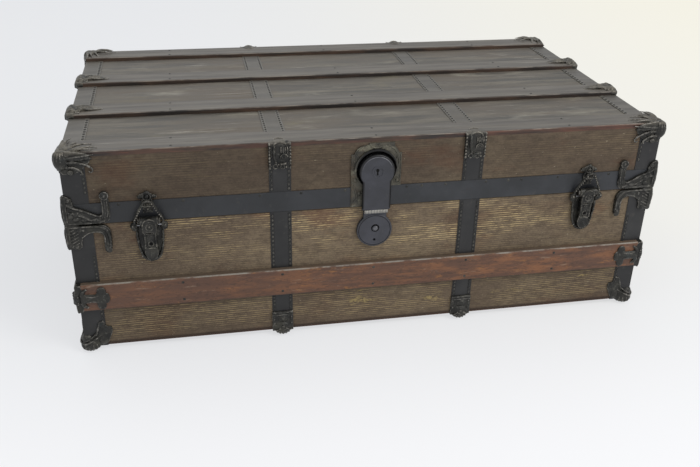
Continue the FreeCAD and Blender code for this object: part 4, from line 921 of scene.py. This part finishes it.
def strap_foot_clay():
    """Round scalloped toe under a strap, with two ridges at the top of its plate."""
    c = Clay()
    c.slab([(-16.8, 8), (16.8, 8), (16.8, 44), (-16.8, 44)], -3, 1)
    c.ball((0, 1, 13), (15, 9, 13), 10, 16)
    for turn in range(-72, 73, 24):
        b, a = spoke(turn)
        c.rope([(5 * a, -8, 16 - 4 * b), (10 * a, -7.4, 14 - 8 * b), (13.6 * a, -4, 13 - 11 * b)],
               [0.9, 1.4, 1.1])
    c.balls(((0, -7.8, 17), (3, 1.8, 3)), ((0, -3.6, 30), (7, 1.8, 5)))
    for z, thick in ((42, 1.1), (37.5, 0.9)):
        c.rope([(-15.6, -3.2, z), (0, -3.6, z), (15.6, -3.2, z)], thick)
    c.balls(*(((side * 13.5, -3.4, z), (1.7, 1.3, 2)) for side in SIDES for z in (22, 30, 34)))
    return c


def lid_cap_clay():
    """Knob at the end of a slat on the lid and the leaf that runs in from it along the slat."""
    c = Clay()
    c.balls(((-3.5, 0, 325.5), (4.5, 20, 8.6), 8, 14), ((2, 0, 332.5), (8.5, 16, 5.6), 10, 18),
            ((18, 0, 333), (7, 10, 3.4), 8, 14))
    for w in (-12, -6, 0, 6, 12):
        c.rope([(-7.4, w, 321), (-6, w, 330), (1, w, 336.4 + 0.1 * (12 - abs(w))),
                (9, w * 0.9, 334.6)], [1.5, 1.9, 1.7, 1], up=(-0.5, 0, 1))
    for w in (-9, -3, 3, 9):
        c.rope([(10, w, 334), (18, w * 0.9, 336), (29, w * 0.75, 334.8), (40, w * 0.5, 333.8),
                (49, w * 0.3, 332.8)], [1.4, 1.8, 1.7, 1.3, 0.6], up=(0, 0, 1))
    for side in SIDES:
        c.ring((12, side * 14, 333.4), 3.4, 1.2, 300, 30, level=True)
        c.balls(((-3, side * 16, 329), (4, 4.4, 4.6)), ((3, side * 19, 328.5), (9, 5, 6)))
    return c


def body_cap_clay():
    """Ball at the corner, a bar and a trefoil at the end of a slat on the body."""
    c = Clay()
    c.ball((-1, -2, 100), (8, 10, 10.5), 8, 14)
    c.leaf([(-4.4, 79), (1, 77), (6, 80), (6.5, 100), (6, 120), (1, 123), (-4.4, 121)], -9.2, 12)
    for turn in range(-60, 61, 30):
        up = spoke(turn)[1]
        c.rope([(-7, 6, 100 + 7 * up), (-7.6, -4, 100 + 10 * up), (0, -11.4, 100 + 9 * up)],
               [1, 1.3, 1])
    c.ball((8.5, -11, 101), (5, 3, 5))
    c.rope([(4, -9.8, 101), (16, -10, 101), (31, -9.8, 100)], [9.5, 7.4, 8], flat=0.42)
    c.ball((13, -11.4, 101), (8, 2.6, 5.6), 8, 12)
    c.ropes(([(11, -12.4, 106), (20, -12.8, 104.6), (29, -12.2, 105.6)], [1, 1.4, 1]),
            ([(11, -12.4, 95.5), (20, -12.8, 97), (29, -12.2, 95)], [1, 1.4, 1]))
    c.balls(*(((u, -9.9, z), (wide, 2.9, tall), 8, 12) for u, z, wide, tall in
              ((33, 100, 10, 13), (34, 112, 7, 7.5), (33, 88, 7, 7.5), (41, 100, 5, 9))))
    c.ball((37, -12, 104), (2.6, 1.6, 2.6))
    c.ring((34.5, -11, 100.5), 6.4, 1)
    c.ropes(([(5, -9.6, 107), (8, -9.8, 113), (13, -9.5, 117)], [3.6, 3.2, 1.8]),
            ([(5, -9.6, 95), (8, -9.8, 89), (13, -9.5, 85)], [3.6, 3.2, 1.8]))
    return c


def catch_clay():
    """Knob, ringed boss and side lobes of a latch's catch."""
    c = Clay()
    c.ball((0, -3.4, 266), (4.6, 3.2, 3.6))
    c.ring((0, -5, 260.5), 5.4, 1.3)
    c.ball((0, -5.2, 260.5), (3, 2, 3))
    c.rope([(-12, -3.6, 262), (-6, -4.6, 265), (0, -4.4, 267), (7, -4.4, 264)],
           [1.4, 1.7, 1.3, 1.2])
    for side in SIDES:
        c.ball((side * 9.6, -4, 260.5), (3.4, 2.2, 3.2))
        c.rope([(side * 6, -4, 256), (side * 7.5, -4.4, 248), (side * 5, -4, 240)],
               [1.2, 1.6, 1.1])
    c.ball((0, -4.4, 241), 1.8)
    return c


def base_clay():
    """Recessed plate of a latch's base, its ears, and the rail round its foot, knurled below."""
    c = Clay()
    c.leaf([(-16, 219), (16, 219), (17, 200), (16, 178), (11, 163), (0, 158), (-11, 163),
            (-16, 178), (-17, 200)], -1.6, 0.5)
    half = [(18.4, -3, 213), (18.6, -3.6, 198), (17.2, -3.6, 181), (13.6, -4.2, 167.5),
            (7.4, -4.6, 159.5)]
    thick = [1.5, 1.9, 1.6, 2, 2.3]
    c.rope([(-a, b, z) for a, b, z in half] + [(0, -4.6, 157)] + half[::-1],
           thick + [2.4] + thick[::-1])
    for turn in range(205, 336, 13):
        a, b = spoke(turn)
        c.ball((15.4 * a, -6, 170.5 + 13.4 * b), 1.3)
    for side in SIDES:
        c.balls(((side * 21, -4.6, 212), (5.4, 4, 6)), ((side * 17.8, -4.8, 190), (2.2, 1.8, 3.4)))
    return c


LEVER_HOLES = (203, 187)


def lever_clay():
    """Arched head, narrow column between rails and rounded tongue of a latch's lever."""
    c = Clay()
    c.rope([(-13, -10.3, 224.5), (0, -10.3, 224.5), (13, -10.3, 224.5)], 6.2, sides=12)
    c.slab(arc(0, 219.5, 10.4, np.linspace(0, math.pi, 14)) + [(-10.2, 207), (10.2, 207)], -15.4,
           -9)
    c.ring((0, -15.8, 219.5), 9.3, 1.6, 180, 0)
    c.ring((0, -15.4, 216), 5, 1.1)
    c.ball((0, -15.6, 216), (2.4, 1.6, 2.4))
    c.leaf([(-8.6, 209), (8.6, 209), (8.2, 196), (8.6, 180), (9.8, 171), (6, 161.8), (0, 160),
            (-6, 161.8), (-9.8, 171), (-8.6, 180), (-8.2, 196)], -11, -6.6)
    for side in SIDES:
        c.rope([(side * 8.2, -11.4, 208), (side * 7.4, -12, 196), (side * 8.2, -11.6, 180)],
               [1.3, 1.6, 1.2])
        c.ball((side * 11.6, -12, 221), (2.4, 2.6, 3.2))
    for middle, bow in ((204.5, -1.6), (179, 1.6)):
        c.rope([(-7, -11.4, middle), (0, -12.2, middle + bow), (7, -11.4, middle)],
               [1.1, 1.6, 1.1])
    for height in LEVER_HOLES:
        c.ring((0, -11.2, height), 3.8, 1.1)
    c.ball((0, -11, 168), (4.4, 1.6, 4.4))
    return c


def bail_clay():
    """Legs of a latch's bail that meet over its catch, with a beaded edge and an ear below."""
    c = Clay()
    for side in SIDES:
        c.rope([(side * 17.6, -5.4, 216), (side * 25.4, -5.4, 216)], 4.6)
        c.balls(((side * 22.6, -7, 215.5), (4.8, 4.4, 5.4), 8, 14),
                ((side * 23.2, -11, 217.5), 1.7))
        c.rope([(side * 20.4, -6.6, 217), (side * 19.4, -8.2, 228), (side * 12.6, -11.2, 243),
                (side * 5.2, -13.6, 256)], [2.3, 2.1, 1.9, 1.8])
        c.balls(*(((side * (19.6 - 13.2 * share), -10.2 - 5 * share, 227 + 26 * share),
                   (1.3, 1.1, 1.3)) for share in (n / 7 for n in range(8))))
    c.ropes(([(-5.6, -13.4, 255), (0, -14, 257.4), (5.6, -13.4, 255)], [1.8, 2, 1.8]),
            ([(-9, -12.2, 249), (0, -12.2, 249), (9, -12.2, 249)], 1.4))
    return c


def four_times(place, turned=False):
    """Moves to the four corners; place says where (x, y, z) goes in the corner (a, b)."""
    return [((lambda v, a=a, b=b: place(a, b, *v)), turned or a * b < 0)
            for a in SIDES for b in SIDES]


MIDDLE_SLAT = 81
CORNERS = four_times(lambda a, b, x, y, z: (a * (END - x), b * (FACE - y), z))
SLAT_ENDS = four_times(lambda a, b, x, y, z: (a * (END - x), b * (MIDDLE_SLAT + y), z))
STRAPS = four_times(lambda a, b, x, y, z: (a * STRAP - b * x, b * (FACE - y), z), turned=True)
LATCHES = [((lambda v, side=side: (side * LATCH + v[0], v[1] - FACE, v[2])), False)
           for side in SIDES]
HOLE_RADIUS, HOLE_FRONT, HOLE_BACK = 2.7, 11.35, 10.6
TONGUE_BELOW, TONGUE_SHARE, CATCH_ABOVE, CATCH_SHARE = 200, 0.45, 257, 0.6


def tapered(v):
    """Draws the foot of a latch's base in to a narrow tongue."""
    middle = LATCH if v[0] > 0 else -LATCH
    return (v[0] if v[2] > TONGUE_BELOW else middle + (v[0] - middle) * TONGUE_SHARE, v[1], v[2])


def lowered(v):
    """Brings the top of a latch's catch down a little."""
    return v[0], v[1], min(v[2], CATCH_ABOVE) + CATCH_SHARE * max(0, v[2] - CATCH_ABOVE)


def build_castings():
    fine = (0.6, 1, "dark_casting")
    for name, node, clay, moves, body, *finish in (
            ("lid_corner_castings", "lid_corner_bumpers", bumper_clay(), CORNERS, "lid"),
            ("foot_castings", "corner_feet", foot_clay(), CORNERS, "trunk"),
            ("upper_clamp_castings", "upper_seam_clamps", upper_clay(), CORNERS, "lid", 0.75),
            ("lower_clamp_castings", "lower_seam_clamps", lower_clay(), CORNERS, "trunk", 0.75),
            ("strap_clamp_castings", "lid_strap_clamps", clamp_clay(), STRAPS, "lid", 0.65, 1,
             "dark_casting"),
            ("strap_foot_castings", "strap_feet", strap_foot_clay(), STRAPS, "trunk", 0.75),
            ("lid_cap_castings", "lid_slat_caps", lid_cap_clay(), SLAT_ENDS, "lid", 0.8),
            ("body_cap_castings", "body_slat_caps", body_cap_clay(), CORNERS, "trunk", 0.8)):
        melted(name, node, clay.changed(*moves), body, *finish)
    melted("handle_cap_castings", "handle_caps", solids("handle_caps"), "trunk")
    for name, node, move, relief, body in (
            ("catch_castings", "latch_catches", lowered, catch_clay(), "lid"),
            ("latch_base_castings", "latch_bases", tapered, base_clay(), "trunk")):
        plain = solids(node).changed((move, False))
        melted(name, node, Clay(plain, relief.changed(*LATCHES)), body, *fine)
    for side, name, latch in zip(SIDES, ("left", "right"), LATCHES):
        for part, clay in (("lever", lever_clay()), ("bail", bail_clay())):
            node = f"latch_{part}_{name}"
            melted(f"{node}_casting", node, clay.changed(latch), f"{name}_{part}", *fine)
        # Black discs on the lever where its holes are: painted shade.
        hole_shades = Clay()
        for height in LEVER_HOLES:
            hole_shades.slab(arc(side * LATCH, height, HOLE_RADIUS, turns(12)),
                       -(FACE + HOLE_FRONT), -(FACE + HOLE_BACK))
        make(f"{name}_lever_holes", hole_shades, f"{name}_lever", "pan", smooth=False)


# ---------------------------------------------------------------- handles

HANDLE_Z, HANDLE_HALF, HANDLE_FLAT, HANDLE_BOW = 139, 118, 84, 24
HANDLE_STEPS, STITCH_ROW, STITCH_END, STITCH_PITCH = 96, 9.2, 68, 6.5
PLY_EDGES = [(11.6, 0.3), (12.3, 1), (12.4, 2.4), (11.9, 3), (12.4, 3.6), (12.2, 5),
             (11.2, 5.8), (6, 6)]


def handle_rise(y):
    """How far the strap's inner face stands off the box at that place along it."""
    if abs(y) >= HANDLE_FLAT:
        return 0
    return HANDLE_BOW / 2 * (1 + math.cos(math.pi * y / HANDLE_FLAT))


def handle_spot(side, y, up, out):
    """A place on the strap: along it, up from its middle line and out from its inner face."""
    slope = handle_rise(y + 0.5) - handle_rise(y - 0.5)
    size = math.hypot(1, slope)
    return (side * (END + handle_rise(y) + out / size), y - out * slope / size, HANDLE_Z + up)


def build_handles():
    """Two plies of leather, rounded at their edges and stitched along both."""
    section = [(0, 0), *PLY_EDGES, (0, 6.1), *((-up, out) for up, out in PLY_EDGES[::-1])]
    count = len(section)
    last = (HANDLE_STEPS - 1) * count
    for side, name in zip(SIDES, ("left", "right")):
        verts = []
        for y in np.linspace(-HANDLE_HALF, HANDLE_HALF, HANDLE_STEPS):
            narrow = 1 - 0.05 * max(0, math.cos(math.pi * y / (2 * HANDLE_FLAT)))
            wave = 0.5 * noise.noise(Vector((y * 0.04, side, 0)))
            verts += [handle_spot(side, y, up * narrow + wave, out) for up, out in section]
        faces = [face for low in range(0, last, count) for face in hoop(low, low + count, count)]
        faces += [tuple(range(count))[::-1], tuple(range(last, last + count))]
        strap, stitches = Clay(), Clay()
        strap.lump(verts, faces if side < 0 else [f[::-1] for f in faces])
        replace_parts(make(f"handle_{name}_strap", strap, "trunk", "leather"), f"handle_{name}")
        for row in (-STITCH_ROW, STITCH_ROW):
            for y in np.arange(-STITCH_END, STITCH_END + 0.1, STITCH_PITCH):
                stitches.rope([handle_spot(side, y + step, row, out)
                               for step, out in ((-2, 5.6), (0, 6.5), (2, 5.6))],
                              [0.45, 0.6, 0.45], up=(side, 0, 0), sides=6, steps=2)
        make(f"handle_{name}_stitches", stitches, "trunk", "stitch")


# ---------------------------------------------------------------- lock

PLATE_FACE, HASP_FACE, DISC_FACE = -(FACE + 2.5), -(FACE + 11.5), -(FACE + 5.5)
HASP_RADIUS, HASP_HALF, HASP_FOOT = 27, 21.5, 219
SHOULDER = [(8, 321), (25, 318.5), (33, 310), (36, 297), (33.5, 288), (31.3, 287), (29.6, 292.5),
            (25.6, 300), (20, 305.6), (8, 311.6)]
KEYHOLE = [(-1.3, -5.2), (1.3, -5.2), (1.1, 0), (2.3, 1.4), (2.3, 3.4), (1.1, 4.8), (-1.1, 4.8),
           (-2.3, 3.4), (-2.3, 1.4), (-1.1, 0)]


def hasp_outline(grown):
    """The outline of the hasp's round head and straight neck, grown outward."""
    radius, half = HASP_RADIUS + grown, HASP_HALF + grown
    turn = math.acos(half / radius)
    head = arc(LOCK_X, LOCK_Z, radius, np.linspace(-turn, math.pi + turn, 40))
    return [(LOCK_X + half, HASP_FOOT)] + head + [(LOCK_X - half, HASP_FOOT)]


def build_lock():
    """Relief of the lock's plates: rims, scrolls, rivets and the ring round the key's hole; with
    black pieces of painted shade round the hasp, in its keyhole and on the disc, and an arc of
    painted highlight on the hasp's head.
    """
    relief, shoulders, edge, ring, shade_skirt, keyhole, rivet, rings = (Clay() for _ in range(8))
    for x, z in ((-36.4, 266), (-29.7, 244), (28.5, 262)):
        relief.ball((x, PLATE_FACE, z), (3.2, 1.9, 3.2))
        relief.ring((x, PLATE_FACE, z), 4.8, 0.7)
    scrolls = [([(-41, 224), (-41.4, 262), (-41, 304)], 0.8),
               ([(33, 256), (33.4, 280), (33, 304)], 0.8)]
    for side in SIDES:
        for line, radii in (([(16, 320), (26, 314), (32, 304), (29, 295)], [1, 1.6, 1.4, 1]),
                            ([(33, 300), (35, 291), (31, 284)], [1, 1.3, 0.8])):
            scrolls.append(([(LOCK_X + side * a, b) for a, b in line], radii))
        shoulders.leaf([(LOCK_X + side * a, b) for a, b in SHOULDER][::side], PLATE_FACE - 0.3,
                       PLATE_FACE + 2)
    scrolls += [([(-38, 230), (-33, 236), (-36, 250), (-39, 258)], [1.2, 1.6, 1.4, 0.8]),
                ([(-14, 319), (-4, 316), (6, 319)], [1.2, 1.8, 1.2])]
    relief.ropes(*(([(a, PLATE_FACE, b) for a, b in line], radii) for line, radii in scrolls))
    relief.ring((LOCK_X, PLATE_FACE, 320), 3, 0.8)
    # A bright arc along the top of the hasp's head: painted highlight.
    edge.ring((LOCK_X, HASP_FACE - 0.1, LOCK_Z), 23.5, 0.6, 150, 20)
    ring.ring((LOCK_X, HASP_FACE, LOCK_Z), 8.5, 0.6)
    # A thin black wall round the hasp's edge, behind its face: painted shade on its sides.
    shade_skirt.wall(hasp_outline(0.5), hasp_outline(-0.3), HASP_FACE + 1.5, HASP_FACE + 3.1)
    keyhole.slab([(LOCK_X + a, LOCK_Z + b) for a, b in KEYHOLE], HASP_FACE - 0.75,
                 HASP_FACE - 0.3)
    rivet.ball((LOCK_X + 1, DISC_FACE - 0.5, 184), (4.4, 3.2, 4.4), 8, 14)
    # Black rings round the rivet and at the disc's rim: painted shade.
    rings.ring((LOCK_X + 1, DISC_FACE + 0.1, 184), 5.6, 0.9)
    rings.ring((LOCK_X, DISC_FACE + 0.4, 180), 25.2, 0.6)
    make("lock_plate_relief", relief, "lid", "plate")
    make("lock_plate_shoulders", shoulders, "lid", "plate", smooth=False)
    make("hasp_highlight_arc", edge, "hasp", "rubbed")
    make("hasp_ring", ring, "hasp", "lock")
    make("hasp_shade_skirt", shade_skirt, "hasp", "pan", smooth=False)
    make("keyhole_shadow", keyhole, "plug", "pan", smooth=False)
    make("disc_rivet_cap", rivet, "trunk", "rubbed")
    make("disc_shade_rings", rings, "trunk", "pan")


# ---------------------------------------------------------------- finish of the CAD pieces

# The ends of the names of the nodes that wear each paint.
FINISH = {
    "board": ("_board",),
    "lining": ("_lining",),
    "bare_wood": ("tray_cleats", "dust_lip"),
    "slat": ("front_slat", "back_slat"),
    "slat_top": ("lid_edge_slats", "lid_middle_slats"),
    "sheet_iron": ("_irons", "_straps", "_leaves"),
    "band": ("lid_band",),
    "nail": ("_nails",),
    "plate": ("lock_plate",),
    "pan": ("lock_pan",),
    "lock": ("hasp_cover", "lock_case", "lock_base_plate"),
    "plug": ("lock_plug",),
    "steel": ("lock_bolt", "_pin", "_pins", "_pin_left", "_pin_right"),
}


def build_finish():
    for paint, ends in FINISH.items():
        for name, node in NODES.items():
            if name.endswith(ends):
                node.data.materials.clear()
                node.data.materials.append(PAINTS[paint])


# ---------------------------------------------------------------- light and camera

SKY, SKY_POWER, WHITE = (0.96, 0.98, 1, 1), 0.8, (1, 1, 1)
FLOOR_HALF, FLOOR_GLOW = 60, 0.75
FLOOR_GREY, FLOOR_WARM_LIGHT, FLOOR_COOL_LIGHT = ((0.80, 0.81, 0.83, 1), (0.93, 0.905, 0.80, 1),
                                      (0.93, 0.935, 0.955, 1))
LENS, SENSOR = 42.883, 36
CAMERA_PLACE = (-0.2738, -1.3870, 0.7738)
CAMERA_TURNS = ((-11.65, "Z"), (-27.53, "X"), (-1.33, "Y"), (90, "X"))


def lamp(name, power, size, place, target, colour):
    data = bpy.data.lights.new(name, "AREA")
    data.energy, data.size, data.color = power, size, colour
    aim = (Vector(target) - Vector(place)).to_track_quat("-Z", "Y")
    linked(name, data).matrix_world = Matrix.Translation(place) @ aim.to_matrix().to_4x4()


def make_floor_paper():
    """White paper, with painted warm light to the right and painted cool light in front, that glows
    a little of itself.
    """
    p = Paint("paper", Roughness=0.9, Specular_IOR_Level=0.1)
    p.base = FLOOR_GREY
    # Painted warm light to the right, and painted cool light in front.
    p.coat(FLOOR_WARM_LIGHT, p.step(p.x, -0.6, 2.2), p.step(p.x, 14, 6),
           p.plus(0.45, p.times(p.step(p.y, -0.35, 0.1), 0.55)))
    p.coat(FLOOR_COOL_LIGHT, p.step(p.y, 0.1, -0.8))
    p.coat(FLOOR_GREY, p.step(p.length(p.x, p.y), 3.5, 9))
    glow = p.add("Emission", {"Color": p.base, "Strength": 1})
    path = p.add("LightPath", {}).outputs
    share = p.times(p.either(path["Is Camera Ray"], path["Is Glossy Ray"]), FLOOR_GLOW)
    both = p.add("MixShader", {0: share, 1: p.shader.outputs[0], 2: glow.outputs[0]})
    p.links.new(both.outputs[0], p.nodes["Material Output"].inputs["Surface"])
    return p.done()


def build_stage():
    world = bpy.data.worlds.new("studio")
    bpy.context.scene.world = world
    world.use_nodes = True
    light = world.node_tree.nodes["Background"].inputs
    light["Color"].default_value, light["Strength"].default_value = SKY, SKY_POWER
    lamp("key", 52, 1.4, (1.9, -1.9, 2.6), (0, 0, 0.15), (1, 0.97, 0.93))
    lamp("overhead", 14, 2.2, (-0.6, 1.6, 2.6), (0, 0, 0.3), WHITE)
    mesh = bpy.data.meshes.new("floor")
    mesh.from_pydata([(a * FLOOR_HALF, b * FLOOR_HALF, 0)
                      for a, b in ((-1, -1), (1, -1), (1, 1), (-1, 1))], [], [(0, 1, 2, 3)])
    mesh.materials.append(make_floor_paper())
    linked("floor", mesh)


def build_camera():
    data = bpy.data.cameras.new("camera")
    data.lens, data.sensor_width, data.sensor_fit = LENS, SENSOR, "HORIZONTAL"
    camera = linked("camera", data)
    bpy.context.scene.camera = camera
    place = Matrix.Translation(CAMERA_PLACE)
    for angle, axis in CAMERA_TURNS:
        place = place @ Matrix.Rotation(math.radians(angle), 4, axis)
    camera.matrix_world = place


build_canvas()
build_beads()
build_castings()
build_handles()
build_lock()
build_finish()
build_stage()
build_camera()
bpy.context.scene.view_settings.view_transform = "Standard"
